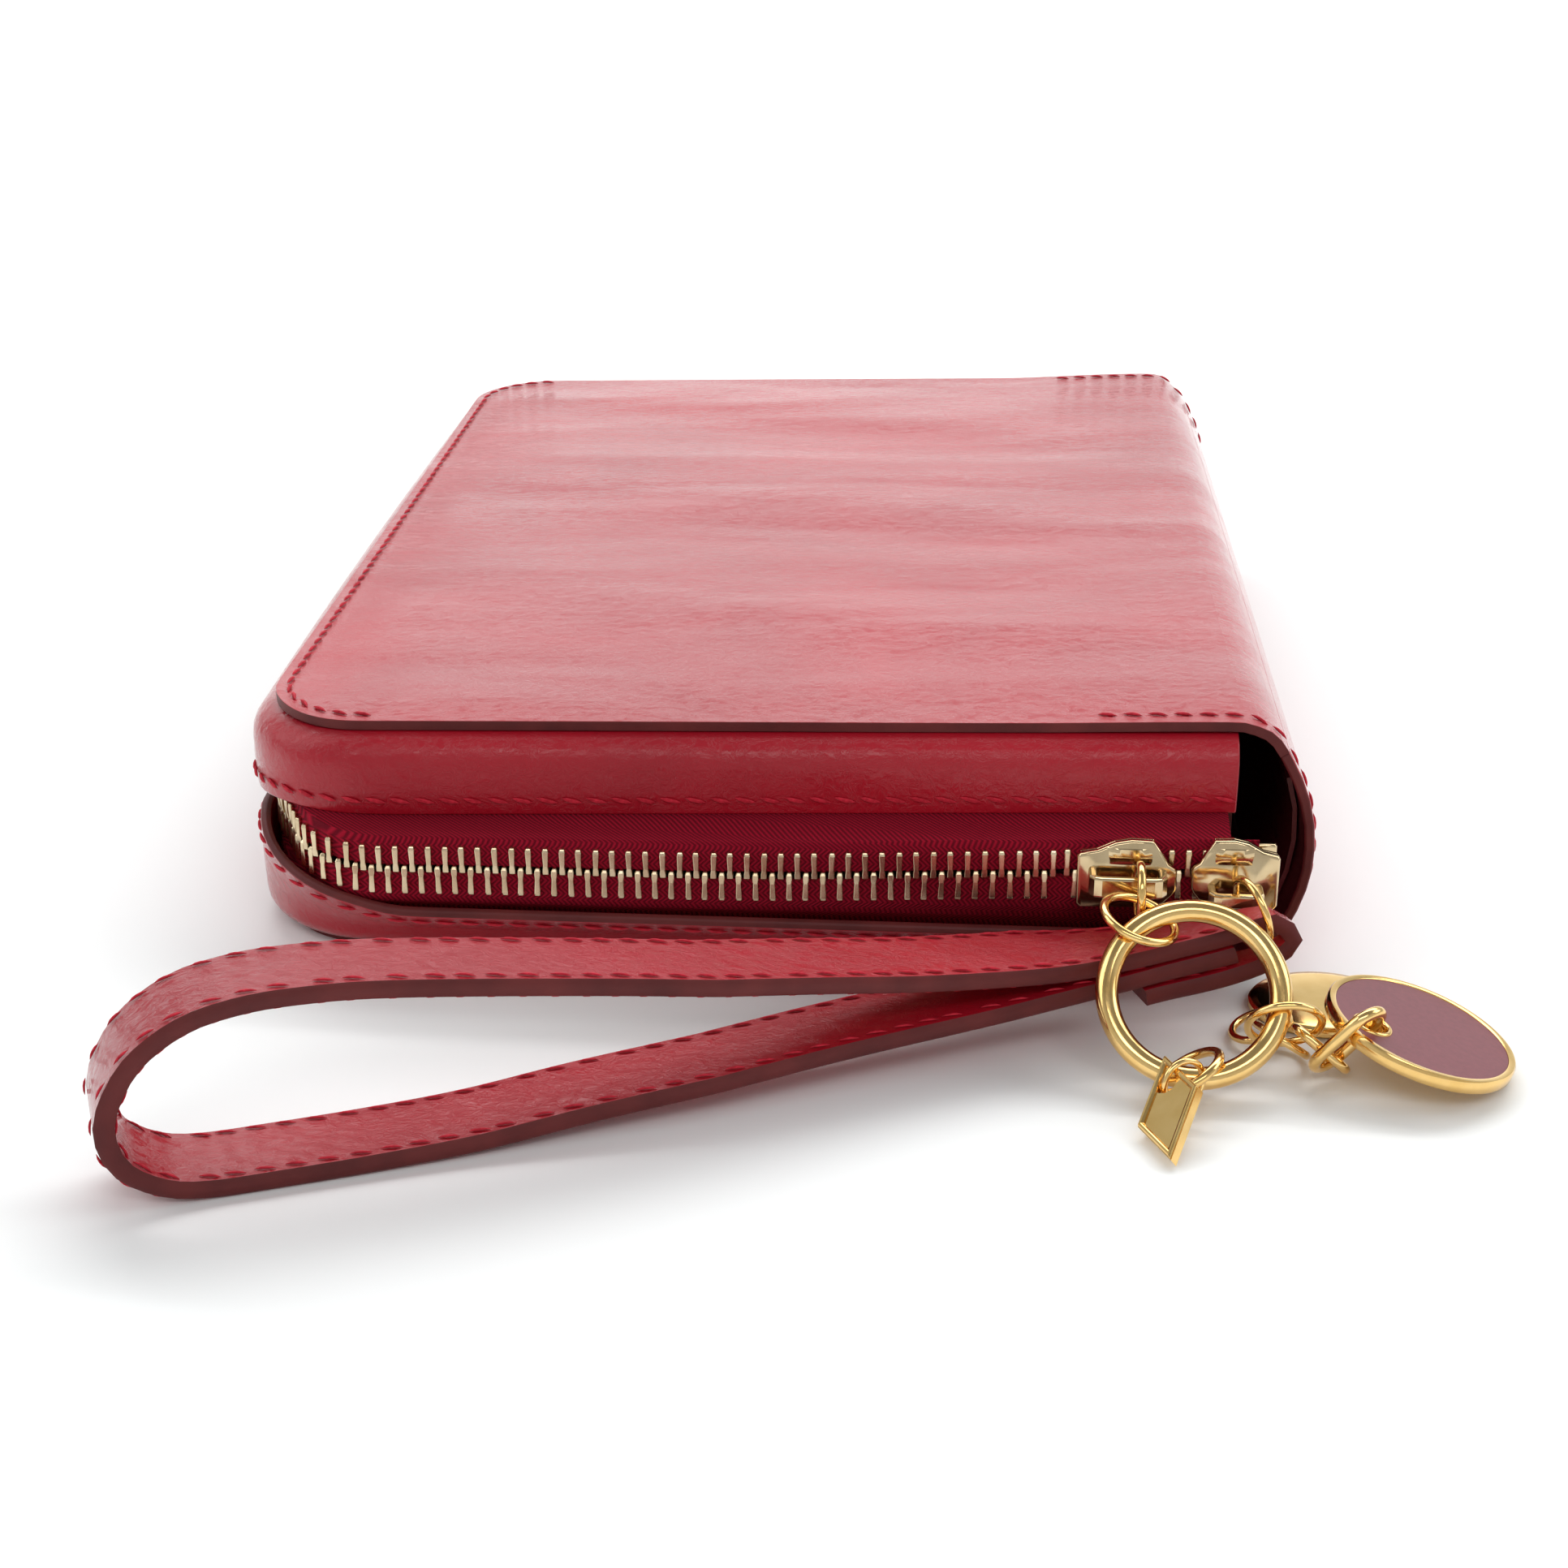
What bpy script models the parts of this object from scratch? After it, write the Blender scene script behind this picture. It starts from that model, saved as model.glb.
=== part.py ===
"""Zip around wallet with a wrist strap, a key ring and charms.

Metres, +Z up. The wallet lies closed on its bottom panel: the spine is at +X, the
front run of the zip at -Y, and the origin is the centre of the bottom face.
Sizes below are in millimetres and are scaled by MM where meshes are made.
"""

import math

import bmesh
import bpy
from mathutils import Matrix, Vector

MM = 0.001

# Wallet body
LEFT_X = -71.0
HALF_LENGTH = 92.0
CORNER_RADIUS = 17.0
BAND_RIGHT_X = 58.5
LEATHER = 1.4
TOP_LEFT_Z = 32.2
TOP_RISE = 0.025
PANEL_INSET = 3.0
PANEL_LEFT_X = -68.0
SPINE_HALF_LENGTH = 90.0
TOP_OUTLINE = [(59.2, 35.3), (62.0, 34.2), (63.8, 32.4)]
SPINE_OUTLINE = [(66.0, 29.6), (67.9, 25.8), (69.0, 21.5), (69.2, 17.0), (68.6, 12.5), (67.4, 8.7), (65.9, 5.6)]
BOTTOM_OUTLINE = [(63.8, 2.8), (62.0, 1.1), (59.3, 0.0)]

# Zip: the chain runs straight along the front and is recessed round the rest
FRONT_STRAIGHT_X = -50.0
CHAIN_OUT_FRONT = 5.9
CHAIN_OUT_SIDE = -2.9
CHAIN_Z_FRONT = 15.6
CHAIN_Z_SIDE = 17.0
CHAIN_SLOPE = 0.026
TOOTH_INNER = 0.9
TOOTH_OUTER = 3.4
TOOTH_HALF_DEPTH = 1.0
TAPE = 0.7
CLEARANCE = 0.3
SPLIT_X = 36.0
BACK_END_X = 52.0
TAIL_END_X = 61.0

# Sliders
SLIDER_1_X = 44.6
SLIDER_2_X = 58.0
SLIDER_PLATE = 1.1
SLIDER_GAP = 1.4
BRIDGE_GAP = 2.2
BRIDGE_BAR = 1.0

# Wrist strap: x runs back from its folded end, z is its middle
STRAP_END_X = 66.2
STRAP_NEAR_Y = -104.2
STRAP_YAW_SLOPE = 0.395
STRAP_BOW = 2.1
STRAP_BOW_LENGTH = 70.0
STRAP_END_OUT = 2.8
STRAP_WIDTH = 11.5
STRAP_FOLD_WIDTH = 2.2
STRAP_TAPER = 0.3
STRAP_THICKNESS = 2.4
STRAP_FOLD = (3.9, 13.6)
STRAP_FOLD_RADIUS = 2.7
STRAP_ROUTE_OUT = [
    (8.2, 11.9), (13.0, 10.5), (20.0, 9.1), (30.0, 7.7), (40.0, 6.6), (59.6, 5.3), (82.0, 3.5),
    (96.0, 1.9), (107.0, 1.4), (117.0, 1.3), (124.5, 1.4), (129.0, 2.4), (132.8, 5.2), (134.3, 9.0),
    (133.9, 13.0), (131.0, 18.2), (126.0, 21.9), (120.5, 23.4), (114.0, 23.7), (104.0, 22.9),
    (82.0, 19.4), (59.6, 15.3), (45.0, 12.7), (30.3, 11.3), (20.0, 11.9), (13.0, 13.2), (8.0, 14.7),
]
STRAP_TAIL = [(8.2, 9.0), (13.0, 7.6), (19.0, 6.5)]

# Interior
POCKET_HALF_LENGTH = 82.0
POCKET_LEFT_X = -62.0
POCKET_RIGHT_X = 57.0
CARD_WIDTH = 92.0
COIN_LEFT_X = -48.0
COIN_RIGHT_X = 60.0
COIN_HALF_LENGTH = 76.0
COIN_LOW_Z = 12.6
COIN_HIGH_Z = 20.4

RING_STEPS = 20
WIRE_STEPS = 6

RED = (0.42, 0.008, 0.018, 1.0)
DARK_RED = (0.20, 0.006, 0.012, 1.0)
LINING = (0.16, 0.008, 0.014, 1.0)
BOARD = (0.35, 0.30, 0.24, 1.0)
PALE_GOLD = (0.62, 0.52, 0.36, 1.0)
GOLD = (0.80, 0.55, 0.22, 1.0)
ENAMEL = (0.20, 0.025, 0.04, 1.0)


def clear_scene():
    for item in list(bpy.data.objects):
        bpy.data.objects.remove(item, do_unlink=True)


def material(name, colour, roughness, metallic):
    made = bpy.data.materials.new(name)
    made.use_nodes = True
    shader = made.node_tree.nodes["Principled BSDF"]
    shader.inputs["Base Color"].default_value = colour
    shader.inputs["Roughness"].default_value = roughness
    shader.inputs["Metallic"].default_value = metallic
    return made


def place(item, name, colour, roughness=0.4, metallic=0.0):
    """Names an object, gives it its own material and puts it in the wallet's collection."""
    item.name = name
    item.data.name = name
    item.data.materials.clear()
    item.data.materials.append(material(name, colour, roughness, metallic))
    for holder in list(item.users_collection):
        holder.objects.unlink(item)
    wallet.objects.link(item)
    return item


def mesh_object(name, points, faces, colour, **finish):
    mesh = bpy.data.meshes.new(name)
    mesh.from_pydata([tuple(c * MM for c in p) for p in points], [], faces)
    mesh.update()
    item = bpy.data.objects.new(name, mesh)
    return place(item, name, colour, **finish)


def loft(name, sections, colour, **finish):
    """A closed solid through sections that have the same number of points."""
    count = len(sections[0])
    points = [p for section in sections for p in section]
    faces = []
    for row in range(len(sections) - 1):
        for k in range(count):
            a = row * count + k
            b = row * count + (k + 1) % count
            faces.append((a, b, b + count, a + count))
    faces.append(tuple(reversed(range(count))))
    faces.append(tuple(range(len(points) - count, len(points))))
    item = mesh_object(name, points, faces, colour, **finish)
    face_outward(item.data)
    return item


def face_outward(mesh):
    work = bmesh.new()
    work.from_mesh(mesh)
    bmesh.ops.recalc_face_normals(work, faces=work.faces)
    if work.calc_volume(signed=True) < 0:
        bmesh.ops.reverse_faces(work, faces=work.faces)
    work.to_mesh(mesh)
    work.free()


def shell(name, rows, thickness, colour, **finish):
    """An open grid of points made solid on its inner side."""
    across = len(rows[0])
    points = [p for row in rows for p in row]
    faces = []
    for r in range(len(rows) - 1):
        for k in range(across - 1):
            a = r * across + k
            faces.append((a, a + 1, a + across + 1, a + across))
    item = mesh_object(name, points, faces, colour, **finish)
    solid = item.modifiers.new("thickness", "SOLIDIFY")
    solid.thickness = thickness * MM
    solid.offset = 0.0 if thickness == STRAP_THICKNESS else -1.0
    solid.use_even_offset = True
    return item


def plate(name, outline, low_z, high_z, colour, holes=(), **finish):
    """A flat outline made as thick as low_z to high_z."""
    curve = bpy.data.curves.new(name, "CURVE")
    curve.dimensions = "2D"
    curve.fill_mode = "BOTH"
    curve.extrude = (high_z - low_z) / 2 * MM
    for loop in [outline, *holes]:
        spline = curve.splines.new("POLY")
        spline.points.add(len(loop) - 1)
        for point, (x, y) in zip(spline.points, loop):
            point.co = (x * MM, y * MM, 0.0, 1.0)
        spline.use_cyclic_u = True
    item = bpy.data.objects.new(name, curve)
    item.location = (0.0, 0.0, (low_z + high_z) / 2 * MM)
    return place(item, name, colour, **finish)


def rounded_rectangle(x0, x1, y0, y1, radius, steps=4):
    corners = [(x1 - radius, y1 - radius, 0), (x0 + radius, y1 - radius, 90)]
    corners += [(x0 + radius, y0 + radius, 180), (x1 - radius, y0 + radius, 270)]
    outline = []
    for cx, cy, start in corners:
        for k in range(steps + 1):
            angle = math.radians(start + 90 * k / steps)
            outline.append((cx + radius * math.cos(angle), cy + radius * math.sin(angle)))
    return outline


def circle(cx, cy, radius, steps=12):
    turns = [2 * math.pi * k / steps for k in range(steps)]
    return [(cx + radius * math.cos(a), cy + radius * math.sin(a)) for a in turns]


def axes_from(normal, along):
    """A rotation whose Z is normal and whose X is as near to along as it can be."""
    z = Vector(normal).normalized()
    x = Vector(along)
    x = (x - x.dot(z) * z).normalized()
    y = z.cross(x)
    return Matrix((x, y, z)).transposed().to_4x4()


def ring(name, centre, normal, radius, wire, colour=GOLD, steps=RING_STEPS, sides=WIRE_STEPS):
    bpy.ops.mesh.primitive_torus_add(
        major_radius=radius * MM, minor_radius=wire * MM, major_segments=steps, minor_segments=sides
    )
    item = bpy.context.object
    item.matrix_world = Matrix.Translation(Vector(centre) * MM) @ axes_from(normal, (1, 0, 0.01))
    item.data.shade_smooth()
    return place(item, name, colour, roughness=0.15, metallic=1.0)


def oval_link(name, centre, normal, along, radius, straight, wire):
    """A chain link: two half circles joined by straight sides, as a closed wire."""
    curve = bpy.data.curves.new(name, "CURVE")
    curve.dimensions = "3D"
    curve.bevel_depth = wire * MM
    curve.bevel_resolution = 1
    half = 6
    outline = []
    for side in (1, -1):
        for k in range(half + 1):
            angle = math.pi * (k / half - 0.5) * 1.0 + (0 if side == 1 else math.pi)
            x = radius * math.cos(angle) + side * straight / 2
            outline.append((x, radius * math.sin(angle), 0.0))
    spline = curve.splines.new("POLY")
    spline.points.add(len(outline) - 1)
    for point, co in zip(spline.points, outline):
        point.co = (co[0] * MM, co[1] * MM, co[2], 1.0)
    spline.use_cyclic_u = True
    item = bpy.data.objects.new(name, curve)
    item.matrix_world = Matrix.Translation(Vector(centre) * MM) @ axes_from(normal, along)
    return place(item, name, GOLD, roughness=0.15, metallic=1.0)


def top_z(x):
    return TOP_LEFT_Z + TOP_RISE * (x - PANEL_LEFT_X)


def smooth(t):
    t = min(max(t, 0.0), 1.0)
    return t * t * (3 - 2 * t)


def rim_stations(start_x, end_x, front_steps=6):
    """Places round the rim from the front right to the back right.

    Each is (x, y, outward x, outward y, open, proud). Both last numbers are 1 along the
    straight front run and fall to 0 round the first corner: proud is how far the chain
    stands out and falls first, open is how far the bands are apart and falls after it.
    """
    y = HALF_LENGTH
    corner_x = LEFT_X + CORNER_RADIUS
    stations = []
    for k in range(front_steps):
        x = start_x + (FRONT_STRAIGHT_X - start_x) * k / (front_steps - 1)
        stations.append((x, -y, 0.0, -1.0, 1.0, 1.0))
    for k in range(1, 11):
        angle = math.radians(90 * (k - 1) / 9)
        nx, ny = -math.sin(angle), -math.cos(angle)
        cy = -y + CORNER_RADIUS
        place_xy = (corner_x + CORNER_RADIUS * nx, cy + CORNER_RADIUS * ny)
        stations.append((*place_xy, nx, ny, 1 - smooth((k - 4) / 6), 1 - smooth(k / 6)))
    for k in range(1, 4):
        stations.append((LEFT_X, (-y + CORNER_RADIUS) * (1 - k / 2), -1.0, 0.0, 0.0, 0.0))
    for k in range(2, 8):
        angle = math.radians(90 * (k - 1) / 6)
        nx, ny = -math.cos(angle), math.sin(angle)
        cy = y - CORNER_RADIUS
        stations.append((corner_x + CORNER_RADIUS * nx, cy + CORNER_RADIUS * ny, nx, ny, 0.0, 0.0))
    stations.append((0.0, y, 0.0, 1.0, 0.0, 0.0))
    stations.append((end_x, y, 0.0, 1.0, 0.0, 0.0))
    return stations


def chain_height(x, front):
    level = CHAIN_Z_FRONT + CHAIN_SLOPE * (x - FRONT_STRAIGHT_X)
    return front * level + (1 - front) * CHAIN_Z_SIDE


def mix(front, at_front, at_side):
    return front * at_front + (1 - front) * at_side


def section_at(station, profile):
    """Profile points (outward, z) set up at a station of the rim."""
    x, y, nx, ny = station[:4]
    return [(x + nx * out, y + ny * out, z) for out, z in profile]


def strip_profile(line, thickness):
    """A closed outline round a bent line, thickness to its left."""
    normals = []
    for k in range(len(line)):
        a = Vector(line[max(k - 1, 0)])
        b = Vector(line[min(k + 1, len(line) - 1)])
        d = (b - a).normalized()
        normals.append(Vector((-d.y, d.x)))
    inner = [tuple(Vector(p) + n * thickness) for p, n in zip(line, normals)]
    return list(line) + inner[::-1]


def upper_band_line(station):
    x, front = station[0], station[4]
    top = top_z(x) - LEATHER - CLEARANCE
    low = mix(front, 20.3 + 0.034 * max(x - FRONT_STRAIGHT_X, 0.0), 18.9)
    return [(0.0, low), (0.0, top - 3.2), (-1.5, top - 0.9), (-4.4, top)]


def lower_band_line(station):
    front = station[4]
    low = LEATHER + CLEARANCE
    return [
        (-4.4, low), (-1.5, low + 0.9), (0.0, low + 2.6),
        (mix(front, 3.6, 0.0), mix(front, 6.6, 9.5)), (mix(front, 7.8, 0.0), mix(front, 9.4, 15.2)),
    ]


def band(name, line_at):
    stations = rim_stations(BAND_RIGHT_X, BAND_RIGHT_X)
    sections = [section_at(s, strip_profile(line_at(s), LEATHER)) for s in stations]
    return loft(name, sections, RED, roughness=0.2)


def chain_out(station):
    return mix(station[5], CHAIN_OUT_FRONT, CHAIN_OUT_SIDE)


def tooth_row(name, side, stations):
    """One side of the zip's teeth as a plain strip: side is 1 above the middle, -1 below."""
    sections = []
    for station in stations:
        out = chain_out(station)
        z = chain_height(station[0], station[4])
        low, high = z + side * TOOTH_INNER, z + side * TOOTH_OUTER
        depth = TOOTH_HALF_DEPTH
        profile = [(out - depth, low), (out + depth, low), (out + depth, high), (out - depth, high)]
        sections.append(section_at(station, profile))
    return loft(name, sections, PALE_GOLD, roughness=0.3, metallic=1.0)


def tape_line(side, station):
    """The outer face of one tape, from the teeth to where it is sewn behind its band."""
    x, front = station[0], station[4]
    out = chain_out(station)
    z = chain_height(x, front)
    start = (out + TAPE / 2, z + side * (TOOTH_OUTER + CLEARANCE))
    if side > 0:
        low = upper_band_line(station)[0][1]
        return [(out + TAPE / 2, z + 3.85), (out + 0.2, z + 4.45),
                (mix(front, min(0.4, out), -2.4), mix(front, max(low - 0.4, z + 4.5), 23.2)),
                (mix(front, -1.9, -2.3), mix(front, low - 0.3, 24.6)),
                (mix(front, -2.1, -2.5), mix(front, low + 2.5, 26.0))]
    return [start, (out + TAPE / 2, z - 4.7), (mix(front, min(2.3, out + 0.2), -2.3), mix(front, 8.3, 10.8)),
            (mix(front, -2.1, -2.2), mix(front, 5.8, 9.4)), (mix(front, -2.6, -2.6), mix(front, 4.9, 8.4))]


def tape(name, side, stations):
    sections = []
    for station in stations:
        profile = strip_profile(tape_line(side, station), side * TAPE)
        sections.append(section_at(station, profile))
    return loft(name, sections, DARK_RED, roughness=0.8)


def tail_stations():
    """The free end of the zip, which carries on past the first slider."""
    places = []
    for x in (SPLIT_X + CLEARANCE, (SPLIT_X + TAIL_END_X) / 2, TAIL_END_X):
        y, z = chain_centre(x)
        places.append((x, y, 0.0, -1.0, z))
    return places


def tail_strip(name, side, inner, outer, half_depth, colour, **finish):
    sections = []
    for x, y, nx, ny, z in tail_stations():
        low, high = z + side * inner, z + side * outer
        profile = [(-half_depth, low), (half_depth, low), (half_depth, high), (-half_depth, high)]
        sections.append([(x + nx * out, y + ny * out, level) for out, level in profile])
    return loft(name, sections, colour, **finish)


def zip_chain():
    stations = rim_stations(SPLIT_X, BACK_END_X)
    tooth_row("upper_teeth", 1, stations)
    tooth_row("lower_teeth", -1, stations)
    tape("upper_zip_tape", 1, stations)
    tape("lower_zip_tape", -1, stations)
    for side, word in ((1, "upper"), (-1, "lower")):
        tail_strip(word + "_tail_teeth", side, TOOTH_INNER, TOOTH_OUTER, TOOTH_HALF_DEPTH, PALE_GOLD,
                   roughness=0.3, metallic=1.0)
        tail_strip(word + "_tail_tape", side, TOOTH_OUTER + CLEARANCE, 5.0, TAPE / 2, DARK_RED, roughness=0.8)


def panel_half_width(x):
    """Half the width of a cover panel at x, with its left corners rounded."""
    half = HALF_LENGTH - PANEL_INSET
    radius = CORNER_RADIUS - PANEL_INSET
    reach = PANEL_LEFT_X + radius - x
    if reach <= 0:
        return half
    return half - radius + math.sqrt(max(radius * radius - reach * reach, 0.0))


def panel_xs():
    radius = CORNER_RADIUS - PANEL_INSET
    turn = [PANEL_LEFT_X + radius * (1 - math.cos(math.radians(a))) for a in (0, 15, 30, 45, 60, 75, 90)]
    return turn + [-10.0, 30.0]


def cover_panels():
    top = [(x, top_z(x)) for x in panel_xs()] + TOP_OUTLINE
    rows = [[(x, -panel_half_width(x), z), (x, 0.0, z), (x, panel_half_width(x), z)] for x, z in top]
    shell("top_cover", [row[::-1] for row in rows], LEATHER, RED, roughness=0.2)
    bottom = [(x, 0.0) for x in panel_xs()] + BOTTOM_OUTLINE[::-1]
    rows = [[(x, -panel_half_width(x), z), (x, 0.0, z), (x, panel_half_width(x), z)] for x, z in bottom]
    shell("bottom_cover", rows, LEATHER, RED, roughness=0.2)
    half = SPINE_HALF_LENGTH
    rows = [[(x, -half, z), (x, 0.0, z), (x, half, z)] for x, z in SPINE_OUTLINE]
    shell("spine_cover", [row[::-1] for row in rows], LEATHER, RED, roughness=0.2)
    inner = [(x - LEATHER - CLEARANCE, z) for x, z in SPINE_OUTLINE[1:-1]]
    rows = [[(x, -half + 6, z), (x, 0.0, z), (x, half - 6, z)] for x, z in inner]
    shell("spine_lining", [row[::-1] for row in rows], 0.6, LINING, roughness=0.7)


def pocket_outline(inset=0.0):
    return rounded_rectangle(POCKET_LEFT_X + inset, POCKET_RIGHT_X, -POCKET_HALF_LENGTH + inset,
                             POCKET_HALF_LENGTH - inset, 12.0 - inset)


def stacked_leaves():
    """The boards, linings and slip pockets of both halves, from the covers inwards."""
    plate("bottom_board", pocket_outline(), 1.8, 2.8, BOARD, roughness=0.9)
    plate("bottom_lining", pocket_outline(), 3.1, 3.8, LINING, roughness=0.7)
    plate("bottom_slip_pocket", pocket_outline(2.0), 4.1, 4.9, LINING, roughness=0.5)
    plate("top_board", pocket_outline(), 29.2, 30.2, BOARD, roughness=0.9)
    plate("top_lining", pocket_outline(), 28.2, 28.9, LINING, roughness=0.7)
    plate("top_slip_pocket", pocket_outline(2.0), 27.1, 27.9, LINING, roughness=0.5)


def card_pockets():
    """Stepped card slots: each leaf is shorter than the one under it."""
    left = POCKET_LEFT_X + 12.0
    for k in range(4):
        far = 62.0 - 26.0 * k
        low = 5.2 + 1.1 * k
        outline = rounded_rectangle(left, left + CARD_WIDTH, -74.0, far, 3.0, 2)
        plate(f"bottom_card_slot_{k + 1}", outline, low, low + 0.8, LINING, roughness=0.5)
    for k in range(3):
        far = 50.0 - 34.0 * k
        high = 26.8 - 1.1 * k
        outline = rounded_rectangle(left, left + CARD_WIDTH, -74.0, far, 3.0, 2)
        plate(f"top_card_slot_{k + 1}", outline, high - 0.8, high, LINING, roughness=0.5)


def coin_pocket():
    """The zipped middle compartment: two leaves, a gusset on three sides, and its own zip."""
    half = COIN_HALF_LENGTH
    leaf = 0.8
    outline = rounded_rectangle(COIN_LEFT_X, COIN_RIGHT_X, -half, half, 4.0, 2)
    plate("coin_pocket_back", outline, COIN_LOW_Z, COIN_LOW_Z + leaf, LINING, roughness=0.5)
    plate("coin_pocket_front", outline, COIN_HIGH_Z - leaf, COIN_HIGH_Z, LINING, roughness=0.5)
    wall = 1.2
    low, high = COIN_LOW_Z + leaf + CLEARANCE, COIN_HIGH_Z - leaf - CLEARANCE
    edge = COIN_LEFT_X + 6.0
    gusset = [(edge, -half), (COIN_RIGHT_X, -half), (COIN_RIGHT_X, half), (edge, half), (edge, half - wall),
              (COIN_RIGHT_X - wall, half - wall), (COIN_RIGHT_X - wall, wall - half), (edge, wall - half)]
    plate("coin_pocket_gusset", gusset, low, high, LINING, roughness=0.5)
    middle = (low + high) / 2
    run = half - 6.0
    for word, a, b in (("lower", low, middle - 0.9), ("upper", middle + 0.9, high)):
        outline = [(COIN_LEFT_X + 3.0, -run), (COIN_LEFT_X + 3.7, -run), (COIN_LEFT_X + 3.7, run)]
        outline.append((COIN_LEFT_X + 3.0, run))
        plate(f"coin_zip_{word}_side", outline, a, b, DARK_RED, roughness=0.6)
    coin_slider(middle, run)


def coin_slider(middle, run):
    x = COIN_LEFT_X + 3.35
    y = -run + 6.0
    outer = box_points(x - 2.0, x - 0.75, y - 3.5, y + 3.5, middle - 2.2, middle + 2.2)
    inner = box_points(x + 0.75, x + 2.0, y - 3.5, y + 3.5, middle - 2.2, middle + 2.2)
    post = box_points(x - 1.0, x + 1.0, y - 2.5, y + 2.5, middle - 0.5, middle + 0.5)
    union("coin_zip_slider", [outer, inner, post], GOLD)
    pull = rounded_rectangle(-6.0, 6.0, -2.0, 2.0, 1.2, 2)
    hole = circle(-4.2, 0.0, 0.8, 8)
    item = plate("coin_zip_pull", pull, -0.5, 0.5, GOLD, holes=[hole], roughness=0.15, metallic=1.0)
    item.matrix_world = Matrix.Translation(Vector((x - 4.4, y + 4.0, middle)) * MM) @ axes_from((1, 0, 0), (0, 1, 0))


def box_points(x0, x1, y0, y1, z0, z1):
    return [(x0, y0, z0), (x1, y0, z0), (x1, y1, z0), (x0, y1, z0),
            (x0, y0, z1), (x1, y0, z1), (x1, y1, z1), (x0, y1, z1)]


def solid_from(points):
    """The convex solid round some points, as a mesh object outside the part."""
    work = bmesh.new()
    for p in points:
        work.verts.new(Vector(p) * MM)
    bmesh.ops.convex_hull(work, input=work.verts)
    bmesh.ops.recalc_face_normals(work, faces=work.faces)
    mesh = bpy.data.meshes.new("piece")
    work.to_mesh(mesh)
    work.free()
    item = bpy.data.objects.new("piece", mesh)
    bpy.context.scene.collection.objects.link(item)
    return item


def union(name, point_lists, colour):
    """Joins convex solids into one body."""
    pieces = [solid_from(points) for points in point_lists]
    base = pieces[0]
    for extra in pieces[1:]:
        join = base.modifiers.new("join", "BOOLEAN")
        join.operation = "UNION"
        join.object = extra
    graph = bpy.context.evaluated_depsgraph_get()
    mesh = bpy.data.meshes.new_from_object(base.evaluated_get(graph))
    for piece in pieces:
        bpy.data.objects.remove(piece, do_unlink=True)
    item = bpy.data.objects.new(name, mesh)
    return place(item, name, colour, roughness=0.25, metallic=1.0)


def chain_centre(x):
    return -HALF_LENGTH - CHAIN_OUT_FRONT, CHAIN_Z_FRONT + CHAIN_SLOPE * (x - FRONT_STRAIGHT_X)


def slider(number, x, facing, length, bridge_drop):
    """A slider's body and the bridge on its front plate. facing is the sign of its wide end."""
    y, z = chain_centre(x)
    narrow, wide, half = 3.6, 4.3, length / 2
    side = [(-half, narrow), (half * 0.35, wide), (half * 0.8, wide), (half, narrow)]
    rim = side + [(a, -b) for a, b in side]
    plates = []
    for near, far, tall in ((-SLIDER_GAP - SLIDER_PLATE, -SLIDER_GAP, 1.0), (SLIDER_GAP, SLIDER_GAP + SLIDER_PLATE, 0.8)):
        plates.append([(x + facing * a, y + depth, z + b * tall) for a, b in rim for depth in (near, far)])
    post = sorted((x + facing * half * 0.45, x + facing * half * 0.85))
    plates.append(box_points(post[0], post[1], y - SLIDER_GAP - 0.2, y + SLIDER_GAP + 0.2, z - 0.5, z + 0.5))
    union(f"slider_{number}_body", plates, PALE_GOLD)
    front = y - SLIDER_GAP - SLIDER_PLATE - CLEARANCE
    reach = half * 0.78
    foot = 1.2
    bar = front - BRIDGE_GAP
    outline = [(x - reach, front), (x - reach, bar - BRIDGE_BAR), (x + reach, bar - BRIDGE_BAR), (x + reach, front),
               (x + reach - foot, front), (x + reach - foot, bar), (x - reach + foot, bar), (x - reach + foot, front)]
    middle = z + bridge_drop
    tall = 1.1 if number == 1 else 0.9
    plate(f"slider_{number}_bridge", outline, middle - tall, middle + tall, PALE_GOLD, roughness=0.25, metallic=1.0)


def strap_place(t, z, across):
    """A point of the strap: t back from the folded end, z up, across from its near edge."""
    bow = STRAP_BOW * math.sin(math.pi * min(t, STRAP_BOW_LENGTH) / STRAP_BOW_LENGTH)
    bow -= STRAP_END_OUT * (1 - smooth(t / 18.0))
    yaw = math.atan(STRAP_YAW_SLOPE)
    x = STRAP_END_X - t - across * math.sin(yaw)
    y = STRAP_NEAR_Y - STRAP_YAW_SLOPE * t + bow + across * math.cos(yaw)
    return (x, y, z)


def strap_route():
    fold = []
    for angle in (90, 120, 150, 180, 210, 240, 270):
        turn = math.radians(angle)
        fold.append((STRAP_FOLD[0] + STRAP_FOLD_RADIUS * math.cos(turn),
                     STRAP_FOLD[1] + STRAP_FOLD_RADIUS * math.sin(turn)))
    return STRAP_ROUTE_OUT + fold + STRAP_TAIL


def wrist_strap():
    """One strip: out along the floor, round the loop, back on top, and folded round its ring."""
    rows = []
    for t, z in strap_route():
        width = min(STRAP_WIDTH, STRAP_FOLD_WIDTH + STRAP_TAPER * t)
        rows.append([strap_place(t, z, 0.0), strap_place(t, z, width)])
    return shell("wrist_strap", rows, STRAP_THICKNESS, RED, roughness=0.2)


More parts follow.
